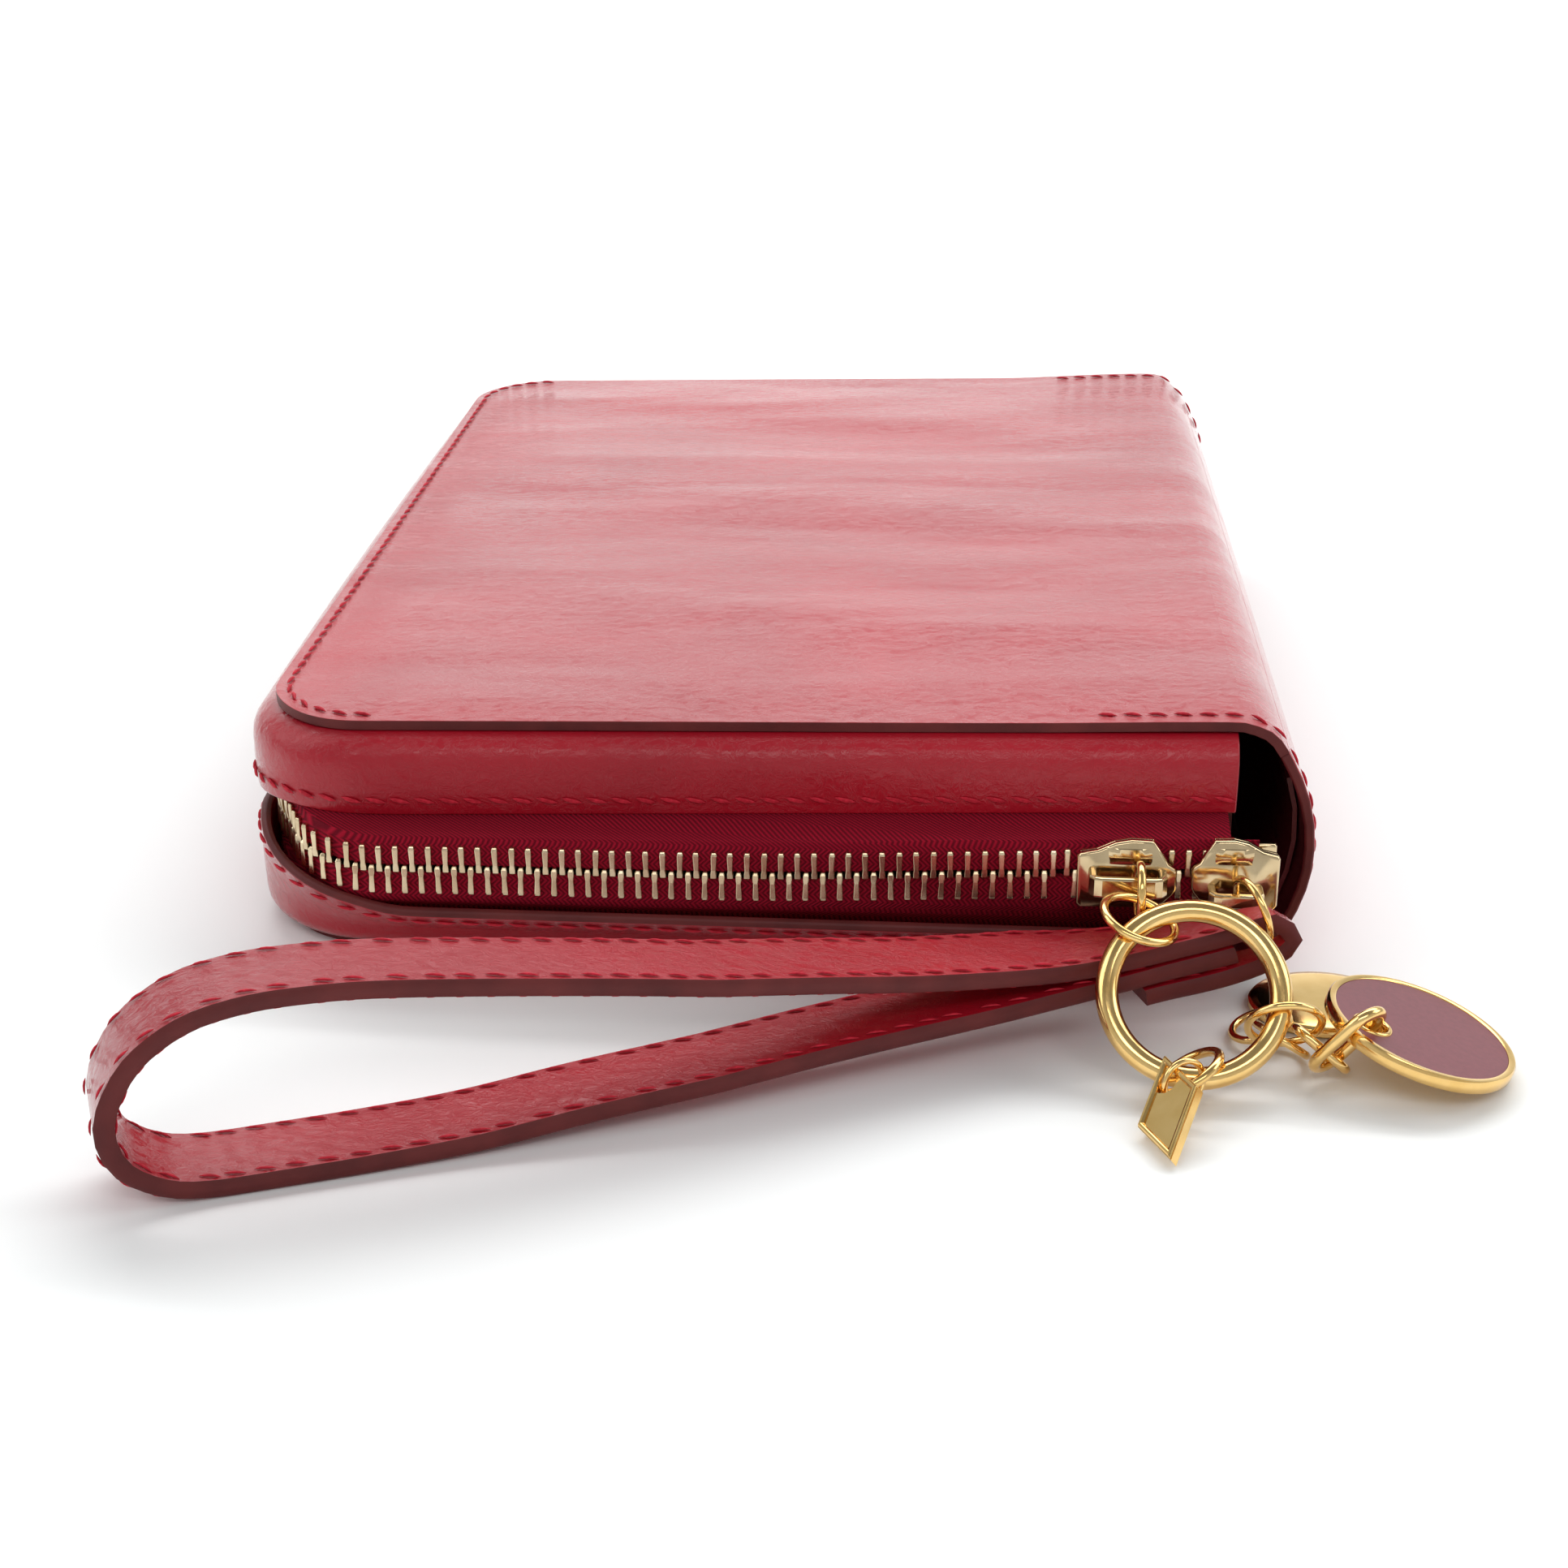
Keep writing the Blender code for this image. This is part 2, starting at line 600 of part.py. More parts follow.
def key_ring_set():
    """The pull ring on the first slider, and the rings and links that hang from it."""
    ring("pull_ring", (45.9, -105.05, 18.6), (1, 0, 0), 3.4, 0.55)
    ring("joining_ring", (45.71, -109.42, 17.06), (0.308, -0.114, 0.944), 4.6, 0.55)
    ring("key_ring", (52.1, -116.5, 10.8), (0, -0.731, 0.682), 10.4, 1.4, steps=28, sides=8)
    ring("tag_ring", (51.36, -123.27, 3.79), (-0.545, 0.125, 0.829), 4.2, 0.6)
    ring("tag_link", (50.5, -126.87, 4.46), (0.495, -0.863, 0.102), 2.7, 0.4, steps=18)
    ring("charm_ring", (63.1, -117.1, 7.4), (0.05, -0.85, -0.52), 4.4, 0.5)
    oval_link("chain_link_1", (67.82, -115.92, 3.62), (0.627, 0.307, 0.716), (0.778, -0.299, -0.553), 1.9, 3.8, 0.6)
    oval_link("chain_link_2", (70.39, -118.7, 6.46), (-0.531, 0.685, 0.499), (0.591, -0.123, 0.797), 2.5, 5.4, 0.75)
    ring("oval_charm_link", (63.5, -112.8, 3.0), (0.51, 0.34, 0.79), 3.6, 0.5)
    ring("oval_charm_ring", (61.6, -107.4, 2.0), (-0.32, 0.03, 0.95), 3.6, 0.5)
    ring("strap_ring", (59.75, -105.8, 16.95), (0.893, 0.351, 0.269), 4.2, 0.6)


def tag():
    """A small slanted plate that leans on its lower edge, with a hole near its top."""
    low_left, low_right = Vector((45.34, -132.03, 0.9)), Vector((48.64, -139.23, 0.9))
    top_left = Vector((48.74, -123.83, 5.9))
    side = top_left - low_left
    edge = low_right - low_left
    normal = edge.cross(side).normalized()
    along = edge.normalized()
    skew = side.dot(along)
    rise = (side - along * skew).length
    width = edge.length
    outline = [(0, 0), (width, 0), (width + skew, rise), (skew, rise)]
    hole = circle(width / 2 + skew - 0.3, rise - 2.3, 1.5, 10)
    item = plate("tag", outline, -0.6, 0.6, GOLD, holes=[hole], roughness=0.1, metallic=1.0)
    item.matrix_world = Matrix.Translation(low_left * MM) @ axes_from(normal, along)


def coin_charm():
    """A round rimmed disc with an enamel face, leaning on the links beside it."""
    tilt = axes_from((0.284, 0.0, 0.959), (1, 0, 0))
    centre = Matrix.Translation(Vector((79.9, -113.35, 4.8)) * MM)
    hole = circle(-6.9, -3.5, 1.9, 12)
    disc = plate("coin_charm", circle(0, 0, 11.9, 32), -0.9, 0.4, GOLD, holes=[hole], roughness=0.1, metallic=1.0)
    disc.matrix_world = centre @ tilt @ Matrix.Translation((0, 0, -0.25 * MM))
    face = plate("coin_enamel", circle(0, 0, 10.8, 28), 0.7, 1.0, ENAMEL, holes=[circle(-6.9, -3.5, 2.3, 12)])
    face.matrix_world = centre @ tilt @ Matrix.Translation((0, 0, 0.85 * MM))


def oval_charm():
    """A flat oval plate on the floor, with a small standing eyelet on its near left edge."""
    turns = [2 * math.pi * k / 24 for k in range(24)]
    outline = [(70.4 + 9.4 * math.cos(a), -98.9 + 8.2 * math.sin(a)) for a in turns]
    base = plate("oval_charm", outline, 0.2, 1.55, GOLD, roughness=0.1, metallic=1.0)
    eyelet = ring("eyelet", (64.35, -104.75, 2.75), (-0.69, 0.72, 0.0), 1.5, 0.5, steps=12)
    graph = bpy.context.evaluated_depsgraph_get()
    mesh = bpy.data.meshes.new_from_object(base.evaluated_get(graph))
    mesh.transform(base.matrix_world)
    bpy.data.objects.remove(base, do_unlink=True)
    solid = bpy.data.objects.new("oval_charm", mesh)
    place(solid, "oval_charm", GOLD, roughness=0.1, metallic=1.0)
    weld(solid, 0.01)
    join = solid.modifiers.new("eyelet", "BOOLEAN")
    join.operation = "UNION"
    join.object = eyelet
    graph.update()
    mesh = bpy.data.meshes.new_from_object(solid.evaluated_get(bpy.context.evaluated_depsgraph_get()))
    for item in (solid, eyelet):
        bpy.data.objects.remove(item, do_unlink=True)
    place(bpy.data.objects.new("oval_charm", mesh), "oval_charm", GOLD, roughness=0.1, metallic=1.0)


def weld(item, distance):
    work = bmesh.new()
    work.from_mesh(item.data)
    bmesh.ops.remove_doubles(work, verts=work.verts, dist=distance * MM)
    work.to_mesh(item.data)
    work.free()


clear_scene()
wallet = bpy.data.collections.new("zip_around_wallet")
bpy.context.scene.collection.children.link(wallet)
cover_panels()
band("upper_band", upper_band_line)
band("lower_band", lower_band_line)
zip_chain()
stacked_leaves()
card_pockets()
coin_pocket()
slider(1, SLIDER_1_X, 1, 12.4, 0.35)
slider(2, SLIDER_2_X, -1, 8.8, -1.4)
wrist_strap()
key_ring_set()
tag()
coin_charm()
oval_charm()
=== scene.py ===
"""Zip around wallet in red patent leather: looks, floor, lights and camera."""

import math
import random

import bmesh
import bpy
from mathutils import Matrix, Vector


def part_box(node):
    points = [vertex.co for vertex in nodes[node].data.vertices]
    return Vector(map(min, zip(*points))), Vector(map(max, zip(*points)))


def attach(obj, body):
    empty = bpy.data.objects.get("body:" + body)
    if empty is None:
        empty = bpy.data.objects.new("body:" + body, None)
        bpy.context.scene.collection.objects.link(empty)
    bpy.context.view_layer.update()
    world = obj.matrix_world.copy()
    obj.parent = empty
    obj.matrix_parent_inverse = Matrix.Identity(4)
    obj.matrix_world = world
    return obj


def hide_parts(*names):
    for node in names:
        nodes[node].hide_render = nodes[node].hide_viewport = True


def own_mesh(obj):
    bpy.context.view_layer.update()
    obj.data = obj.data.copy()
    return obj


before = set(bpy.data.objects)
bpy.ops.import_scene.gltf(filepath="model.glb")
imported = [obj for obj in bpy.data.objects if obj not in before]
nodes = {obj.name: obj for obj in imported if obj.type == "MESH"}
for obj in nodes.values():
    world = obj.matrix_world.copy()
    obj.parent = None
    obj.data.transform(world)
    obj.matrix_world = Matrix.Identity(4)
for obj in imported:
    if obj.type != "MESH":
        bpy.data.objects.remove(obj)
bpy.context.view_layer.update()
random.seed(7)

MM = 0.001

# Wallet body in millimetres, as the CAD has it: the rim, the top panel, and the zip's chain, which
# stands outside the rim along the front and is recessed round the rest
LEFT_X = -71.0
HALF = 92.0
CORNER = 17.0
BAND_RIGHT = 58.5
PANEL_LEFT = -68.0
PANEL_HALF = 89.0
PANEL_CORNER = 14.0
CHAIN_FRONT = 5.9
CHAIN_SIDE = -2.9
FRONT_X = -50.0
SPLIT_X = 36.0
TAIL_END = 61.0
BACK_END = 52.0
PITCH = 2.15
LEATHER = 1.4
SIDE_BULGE = 0.8


# ---------------------------------------------------------------- materials

class Nodes:
    """A short way to add and join shader nodes."""

    def __init__(self, name):
        self.mat = bpy.data.materials.new(name)
        self.mat.use_nodes = True
        self.tree = self.mat.node_tree
        self.shader = self.tree.nodes["Principled BSDF"]
        self.coords = self.tree.nodes.new("ShaderNodeTexCoord").outputs["Object"]

    def set(self, **values):
        for key, value in values.items():
            self.shader.inputs[key.replace("_", " ")].default_value = value

    def new(self, kind, **inputs):
        node = self.tree.nodes.new("ShaderNode" + kind)
        for key, value in inputs.items():
            socket = node.inputs[key.replace("_", " ")]
            if isinstance(value, bpy.types.NodeSocket):
                self.tree.links.new(value, socket)
            else:
                socket.default_value = value
        return node

    def link(self, a, b):
        self.tree.links.new(a, b)

    def scaled(self, x, y, z, coords=None):
        node = self.new("Mapping", Scale=(x, y, z))
        self.link(coords or self.coords, node.inputs["Vector"])
        return node.outputs["Vector"]

    def noise(self, scale, detail=2.0, distortion=0.0, rough=0.5, coords=None):
        node = self.new("TexNoise", Scale=scale, Detail=detail, Distortion=distortion, Roughness=rough)
        self.link(coords or self.coords, node.inputs["Vector"])
        return node.outputs["Fac"]

    def math(self, op, a, b=0.0, c=0.0):
        node = self.tree.nodes.new("ShaderNodeMath")
        node.operation = op
        for k, value in enumerate((a, b, c)):
            if isinstance(value, bpy.types.NodeSocket):
                self.link(value, node.inputs[k])
            else:
                node.inputs[k].default_value = value
        return node.outputs[0]

    def ramp(self, fac, *stops):
        node = self.tree.nodes.new("ShaderNodeValToRGB")
        self.link(fac, node.inputs[0])
        line = node.color_ramp.elements
        while len(line) < len(stops):
            line.new(0.5)
        for element, (place, colour) in zip(line, stops):
            element.position = place
            element.color = (*colour, 1.0)
        return node.outputs[0]

    def colour(self, fac, *stops):
        self.link(self.ramp(fac, *stops), self.shader.inputs["Base Color"])

    def specular(self, level):
        self.shader.inputs["Specular IOR Level"].default_value = level

    def bump(self, height, strength, distance, after=None):
        node = self.new("Bump", Height=height, Strength=strength, Distance=distance)
        if after:
            self.link(after, node.inputs["Normal"])
        return node.outputs["Normal"]


def patent(name, dark, light, bump=1.0, waves=1.0, gloss=1.5):
    """Glossy creased leather: a fine grain under a thick clear coat."""
    m = Nodes(name)
    m.set(Roughness=0.5, Coat_Weight=1.0, Coat_Roughness=0.045, Coat_IOR=gloss)
    m.specular(0.15)
    tone = m.noise(24, 3.0, 0.6)
    m.colour(tone, (0.3, dark), (0.72, light))
    crease = m.noise(420, 6.0, 1.4, 0.62, m.scaled(1.0, 1.6, 1.0))
    lines = m.math("ABSOLUTE", m.math("SUBTRACT", crease, 0.5))
    fine = m.math("POWER", m.math("MULTIPLY", lines, 3.2), 0.6)
    pebble = m.tree.nodes.new("ShaderNodeTexVoronoi")
    pebble.inputs["Scale"].default_value = 900
    m.link(m.coords, pebble.inputs["Vector"])
    dips = m.noise(150, 3.0, 0.5)
    swell = m.noise(28, 1.5, 0.3, 0.5, m.scaled(0.6, 1.8, 1.0))
    patches = m.ramp(m.noise(40, 2.0), (0.42, (0.15,) * 3), (0.62, (1.0,) * 3))
    peel = m.math("MULTIPLY", m.noise(680, 1.5, 0.4), patches)
    normal = m.bump(swell, 1.0, 0.0012 * waves)
    normal = m.bump(dips, 1.0, 0.00009 * bump, normal)
    normal = m.bump(peel, 1.0, 0.00022 * (bump - 1.0), normal)
    normal = m.bump(fine, 0.7, 0.00005 * bump, normal)
    normal = m.bump(pebble.outputs["Distance"], 0.35, 0.00004 * bump, normal)
    m.link(normal, m.shader.inputs["Normal"])
    m.link(normal, m.shader.inputs["Coat Normal"])
    return m.mat


def edge_paint():
    """Dark burgundy paint on the raw leather edges."""
    m = Nodes("edge_paint")
    m.set(Roughness=0.5)
    m.specular(0.25)
    tone = m.noise(160, 4.0)
    m.colour(tone, (0.3, (0.085, 0.012, 0.012)), (0.75, (0.145, 0.021, 0.020)))
    m.link(m.bump(m.noise(900, 3.0), 0.5, 0.00008), m.shader.inputs["Normal"])
    return m.mat


def thread():
    """Red sewing thread with a fine twist."""
    m = Nodes("thread")
    m.set(Roughness=0.6)
    m.specular(0.2)
    twist = m.noise(1500, 2.0)
    m.colour(twist, (0.3, (0.36, 0.006, 0.018)), (0.75, (0.62, 0.022, 0.045)))
    m.link(m.bump(twist, 0.6, 0.0001), m.shader.inputs["Normal"])
    return m.mat


def tape_cloth():
    """A herringbone woven tape, with painted shade in the grooves of its weave and painted light on its
    ridges.
    """
    m = Nodes("tape_weave")
    m.set(Roughness=0.9)
    m.specular(0.12)
    x = m.tree.nodes.new("ShaderNodeSeparateXYZ")
    m.link(m.coords, x.inputs[0])
    bands = m.math("PINGPONG", m.math("MULTIPLY", x.outputs["Z"], 1000.0), 0.9)
    slant = m.math("ADD", m.math("MULTIPLY", x.outputs["X"], 1000.0), m.math("MULTIPLY", bands, 1.0))
    along = m.math("ADD", slant, m.math("MULTIPLY", x.outputs["Y"], 1000.0))
    rib = m.math("SINE", m.math("MULTIPLY", along, 9.5))
    height = m.math("MULTIPLY_ADD", rib, 0.5, 0.5)
    # painted shade and light: the colour follows the rib height, darker in the weave's grooves and lighter
    # on its ridges
    m.colour(height, (0.1, (0.13, 0.002, 0.010)), (0.9, (0.33, 0.005, 0.022)))
    m.link(m.bump(height, 0.8, 0.00012), m.shader.inputs["Normal"])
    return m.mat


def metal(name, dark, light, rough, scratch=0.3):
    """A polished metal with faint long scratches; its colour varies between dark and light."""
    m = Nodes(name)
    m.set(Metallic=1.0, Roughness=rough)
    tone = m.noise(260, 3.0)
    m.colour(tone, (0.3, dark), (0.7, light))
    lines = m.noise(1200, 3.0, 0.0, 0.6, m.scaled(1.0, 0.15, 1.0))
    wear = m.math("MULTIPLY_ADD", lines, 0.10, rough - 0.04)
    m.link(wear, m.shader.inputs["Roughness"])
    m.link(m.bump(lines, scratch, 0.00001), m.shader.inputs["Normal"])
    return m.mat


def lining_leather():
    """The dark red leather inside."""
    m = Nodes("lining_leather")
    m.set(Roughness=0.5, Coat_Weight=0.2, Coat_Roughness=0.3)
    tone = m.noise(60, 3.0)
    m.colour(tone, (0.3, (0.11, 0.004, 0.009)), (0.7, (0.17, 0.007, 0.013)))
    m.link(m.bump(m.noise(700, 5.0, 0.8), 0.6, 0.0001), m.shader.inputs["Normal"])
    return m.mat


def board_card():
    """Grey-brown fibre board."""
    m = Nodes("board_card")
    m.set(Roughness=0.95)
    fibres = m.noise(500, 5.0, 0.0, 0.6, m.scaled(1.0, 0.2, 1.0))
    m.colour(fibres, (0.3, (0.28, 0.23, 0.17)), (0.7, (0.40, 0.34, 0.26)))
    m.link(m.bump(fibres, 0.4, 0.0001), m.shader.inputs["Normal"])
    return m.mat


def enamel():
    """The muted burgundy face of the coin."""
    m = Nodes("enamel")
    m.set(Roughness=0.5, Coat_Weight=0.25, Coat_Roughness=0.4)
    speck = m.noise(1400, 3.0)
    m.colour(speck, (0.3, (0.165, 0.024, 0.036)), (0.7, (0.20, 0.033, 0.046)))
    m.link(m.bump(m.noise(300, 2.0), 0.2, 0.00003), m.shader.inputs["Normal"])
    return m.mat


RED = patent("patent_red", (0.36, 0.0045, 0.016), (0.45, 0.007, 0.021))
RED_BAND = patent("patent_red_band", (0.33, 0.003, 0.013), (0.42, 0.005, 0.017), 1.3, 0.6, 1.36)
RED_STRAP = patent("patent_red_strap", (0.32, 0.003, 0.013), (0.41, 0.005, 0.017), 1.5, 0.3, 1.36)
EDGE = edge_paint()
THREAD = thread()
TAPE = tape_cloth()
TEETH = metal("zip_metal", (0.62, 0.48, 0.30), (0.80, 0.66, 0.45), 0.24)
SLIDER = metal("slider_metal", (0.60, 0.45, 0.26), (0.78, 0.60, 0.36), 0.13)
GOLD = metal("gold", (0.86, 0.55, 0.19), (0.96, 0.66, 0.27), 0.13, 0.2)
LINING = lining_leather()
BOARD = board_card()
ENAMEL = enamel()


# ---------------------------------------------------------------- mesh helpers

def add(name, points, faces, materials, body=None, indices=None, smooth=True):
    """A mesh object from points in millimetres, with its faces turned outwards."""
    mesh = bpy.data.meshes.new(name)
    mesh.from_pydata([tuple(c * MM for c in p) for p in points], [], faces)
    for material in materials:
        mesh.materials.append(material)
    if indices:
        mesh.polygons.foreach_set("material_index", indices)
    mesh.polygons.foreach_set("use_smooth", [smooth] * len(mesh.polygons))
    mesh.update()
    item = bpy.data.objects.new(name, mesh)
    bpy.context.scene.collection.objects.link(item)
    outward(mesh)
    if smooth:
        mesh.set_sharp_from_angle(angle=math.radians(42))
    if body:
        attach(item, body)
    return item


def outward(mesh):
    """Turn all faces of a closed mesh outwards."""
    work = bmesh.new()
    work.from_mesh(mesh)
    bmesh.ops.recalc_face_normals(work, faces=work.faces)
    work.to_mesh(mesh)
    work.free()


def ring_faces(rings, n, first=0):
    """Quads between rings of n points each, whose points are numbered from first."""
    faces = []
    for r in range(rings - 1):
        for k in range(n):
            a, b = first + r * n + k, first + r * n + (k + 1) % n
            faces.append((a, b, b + n, a + n))
    return faces


def end_faces(rings, n, first=0):
    """The two faces that close the first and the last ring."""
    last = first + (rings - 1) * n
    return [tuple(first + k for k in reversed(range(n))), tuple(last + k for k in range(n))]


def smoothstep(t):
    """A soft step from 0 to 1."""
    t = min(max(t, 0.0), 1.0)
    return t * t * (3 - 2 * t)


def mix(t, a, b):
    """b where t is 0 and a where it is 1."""
    return t * a + (1 - t) * b


def top_z(x):
    """The height of the top panel's outer face."""
    return 32.2 + 0.025 * (x - PANEL_LEFT)


# ---------------------------------------------------------------- rim path

def rim(distance_step, start_x, end_x):
    """Evenly spaced stations round the rim: (x, y, nx, ny, open, proud)."""
    corner_x = LEFT_X + CORNER
    length_front = start_x - corner_x
    arc = math.pi / 2 * CORNER
    side = 2 * (HALF - CORNER)
    back = end_x - corner_x
    total = length_front + arc + side + arc + back
    count = max(int(round(total / distance_step)), 2)
    stations = []
    for k in range(count + 1):
        d = total * k / count
        if d < length_front:
            x, y, nx, ny = start_x - d, -HALF, 0.0, -1.0
        elif d < length_front + arc:
            a = (d - length_front) / CORNER
            nx, ny = -math.sin(a), -math.cos(a)
            x, y = corner_x + CORNER * nx, -HALF + CORNER + CORNER * ny
        elif d < length_front + arc + side:
            x, y, nx, ny = LEFT_X, -HALF + CORNER + d - length_front - arc, -1.0, 0.0
        elif d < length_front + 2 * arc + side:
            a = (d - length_front - arc - side) / CORNER
            nx, ny = -math.cos(a), math.sin(a)
            x, y = corner_x + CORNER * nx, HALF - CORNER + CORNER * ny
        else:
            x, y, nx, ny = corner_x + d - (total - back), HALF, 0.0, 1.0
        turn = (d - length_front) / arc
        opened = 1 - smoothstep((turn - 0.33) / 0.67)
        proud = 1 - smoothstep((turn + 0.15) / 0.75)
        stations.append((x, y, nx, ny, opened, proud))
    return stations


def out_of(station, out, z, bulge=0.0):
    """The point that lies out millimetres outside the rim at height z; bulge swells the left side."""
    x, y, nx, ny = station[:4]
    if nx < -0.5:
        out += bulge * math.cos(math.pi * min(abs(y) / HALF, 1.0) / 2)
    return (x + nx * out, y + ny * out, z)


def chain_level(x):
    """The height of the middle of the zip chain along the front."""
    return 15.6 + 0.026 * (x - FRONT_X)


def chain_at(station):
    """(how far out, height) of the middle of the zip chain."""
    x, opened, proud = station[0], station[4], station[5]
    sag = 0.9 * math.exp(-((x + 2) / 30.0) ** 2) * opened
    return mix(proud, CHAIN_FRONT - 0.3 * sag, CHAIN_SIDE), mix(opened, chain_level(x) - sag, 17.0)


def sweep(name, stations, profile_at, materials, body, pick=None, bulge=0.0):
    """A closed skin along the rim through each station's closed profile."""
    sections = [profile_at(s) for s in stations]
    count = len(sections[0])
    points = [out_of(s, o, z, bulge) for s, line in zip(stations, sections) for o, z in line]
    faces = ring_faces(len(sections), count) + end_faces(len(sections), count)
    indices = [pick(k) if pick else 0 for k in range(count)] * (len(sections) - 1)
    indices += [len(materials) - 1] * 2
    return add(name, points, faces, materials, body, indices)


def thick(line, thickness, edge=0.35):
    """A closed profile round a line, thickness to its left, with rounded ends."""
    normals = []
    for k in range(len(line)):
        a = Vector(line[max(k - 1, 0)])
        b = Vector(line[min(k + 1, len(line) - 1)])
        d = (b - a).normalized()
        normals.append(Vector((-d.y, d.x)))
    inner = [Vector(p) + n * thickness for p, n in zip(line, normals)]
    first = (Vector(line[0]) - Vector(line[1])).normalized() * edge
    last = (Vector(line[-1]) - Vector(line[-2])).normalized() * edge
    start_mid = (Vector(line[0]) + inner[0]) / 2 + first
    end_mid = (Vector(line[-1]) + inner[-1]) / 2 + last
    return [tuple(start_mid)] + list(line) + [tuple(end_mid)] + [tuple(p) for p in inner[::-1]]


def upper_low(x, opened):
    """The height of the upper band's lower edge."""
    return mix(opened, 20.3 + 0.034 * max(x - FRONT_X, 0.0), 18.9)


def upper_line(s):
    """The upper band's outer face in section, from its lower edge to under the panel."""
    top = top_z(s[0]) - 1.75
    low = upper_low(s[0], s[4])
    line = [(0.0, low), (0.15, low + 1.4), (0.25, (low + top) / 2 - 1.0)]
    for k in range(7):
        a = math.radians(90 * k / 6)
        line.append((-4.0 + 4.2 * math.cos(a) + 0.05, top - 4.2 + 4.2 * math.sin(a)))
    line.append((-6.0, top))
    return line


def lower_open(s):
    """How far the lower band splays outwards: fully along the front, not at all past the corner."""
    if s[0] > LEFT_X + CORNER and s[1] < 0:
        return 1 - smoothstep((LEFT_X + CORNER - s[0] + 8.0) / 32.0)
    turn = math.atan2(-s[2], -s[3]) * CORNER if s[1] < 0 else 100.0
    return 1 - smoothstep((turn + 8.0) / 32.0)


def lower_line(s):
    """The lower band's outer face in section, from under the wallet to its free upper edge."""
    f = lower_open(s)
    line = [(-6.0, 0.9)]
    for k in range(6):
        a = math.radians(-90 + 90 * k / 5)
        line.append((-3.4 + 3.4 * math.cos(a), 4.2 + 3.3 * math.sin(a)))
    line += [(mix(f, 1.9, 0.1), mix(f, 5.6, 7.5)), (mix(f, 4.2, 0.15), mix(f, 7.0, 11.0)),
             (mix(f, 6.2, 0.05), mix(f, 8.3, 14.0)), (mix(f, 7.7, 0.0), mix(f, 9.5, 15.2))]
    return line


def bands():
    """The upper and the lower side band, each with painted edges."""
    stations = rim(2.0, BAND_RIGHT, BAND_RIGHT)
    upper_count = len(thick(upper_line(stations[0]), LEATHER))
    low_end = len(lower_line(stations[0]))
    edges = {"upper": (0, upper_count - 1), "lower": (low_end, low_end + 1)}
    for word, line_at in (("upper", upper_line), ("lower", lower_line)):
        painted = edges[word]
        item = sweep(
            word + "_band_skin", stations, lambda s, line_at=line_at: thick(line_at(s), LEATHER),
            [RED_BAND, EDGE], word + "_half", lambda k, painted=painted: int(k in painted), bulge=SIDE_BULGE)
        soften(item)
        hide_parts(word + "_band")


def soften(item, width=0.0002):
    """Small rounded edges."""
    bevel = item.modifiers.new("bevel", "BEVEL")
    bevel.width = width
    bevel.segments = 2
    bevel.limit_method = "ANGLE"
    bevel.angle_limit = math.radians(50)


# ---------------------------------------------------------------- stitches

def stitch_run(name, places, body, length=2.8, width=0.55):
    """Short slanted twisted stitches. Each place is (point, along, outward)."""
    points, faces = [], []
    for centre, along, up in places:
        along, up = Vector(along).normalized(), Vector(up).normalized()
        across = along.cross(up)
        slant = (along + across * 0.22).normalized()
        other = slant.cross(up)
        base = len(points)
        rings = 5
        for r in range(rings):
            t = r / (rings - 1) * 2 - 1
            fat = width / 2 * math.sqrt(max(1 - t * t, 0.0)) + 0.03
            lift = 0.10 + 0.14 * (1 - t * t)
            middle = Vector(centre) + slant * t * length / 2 + up * lift
            for k in range(6):
                a = math.pi * 2 * k / 6
                points.append(tuple(middle + other * fat * math.cos(a) + up * fat * 0.8 * math.sin(a)))
        faces += ring_faces(rings, 6, base) + end_faces(rings, 6, base)
    item = add(name, points, faces, [THREAD], body)
    return item


def surface_place(s, nxt, line_at, index, t):
    """A point on a band's outer line between two of its points, with its directions."""
    a, b = line_at(s)[index], line_at(s)[index + 1]
    o, z = a[0] + (b[0] - a[0]) * t, a[1] + (b[1] - a[1]) * t
    here = Vector(out_of(s, o, z, SIDE_BULGE))
    there = Vector(out_of(nxt, o, z, SIDE_BULGE))
    d = Vector((b[0] - a[0], b[1] - a[1])).normalized()
    up = Vector((s[2] * d.y, s[3] * d.y, -d.x))
    return tuple(here), tuple(there - here), tuple(up)


def band_stitches():
    """The stitch rows near the free edges of both bands."""
    stations = rim(3.2, BAND_RIGHT - 1.5, BAND_RIGHT - 1.5)
    pairs = list(zip(stations[:-1], stations[1:]))
    places = [surface_place(s, n, upper_line, 1, 0.25) for s, n in pairs]
    stitch_run("upper_band_stitches", places, "upper_half")
    last = len(lower_line(stations[0])) - 2
    places = [surface_place(s, n, lower_line, last, -0.05) for s, n in pairs]
    stitch_run("lower_band_stitches", places, "lower_half")


# ---------------------------------------------------------------- zip

def tooth_shape():
    """One tooth across the tape: x along the chain, y outwards, z from the middle."""
    half, depth = 0.42, 0.95
    rows = [(-0.55, 0.62, 0.55), (-0.2, 0.95, 0.85), (0.35, 0.95, 0.9),
            (0.9, 0.75, 0.95), (2.9, 0.95, 1.0), (3.3, 0.8, 0.9)]
    points = []
    for z, wide, deep in rows:
        w, d = half * wide, depth * deep
        points += [(-w, -d, z), (w, -d, z), (w, -d * 0.6, z), (w, d, z), (-w, d, z), (-w, -d * 0.6, z)]
    return points, ring_faces(len(rows), 6) + end_faces(len(rows), 6)


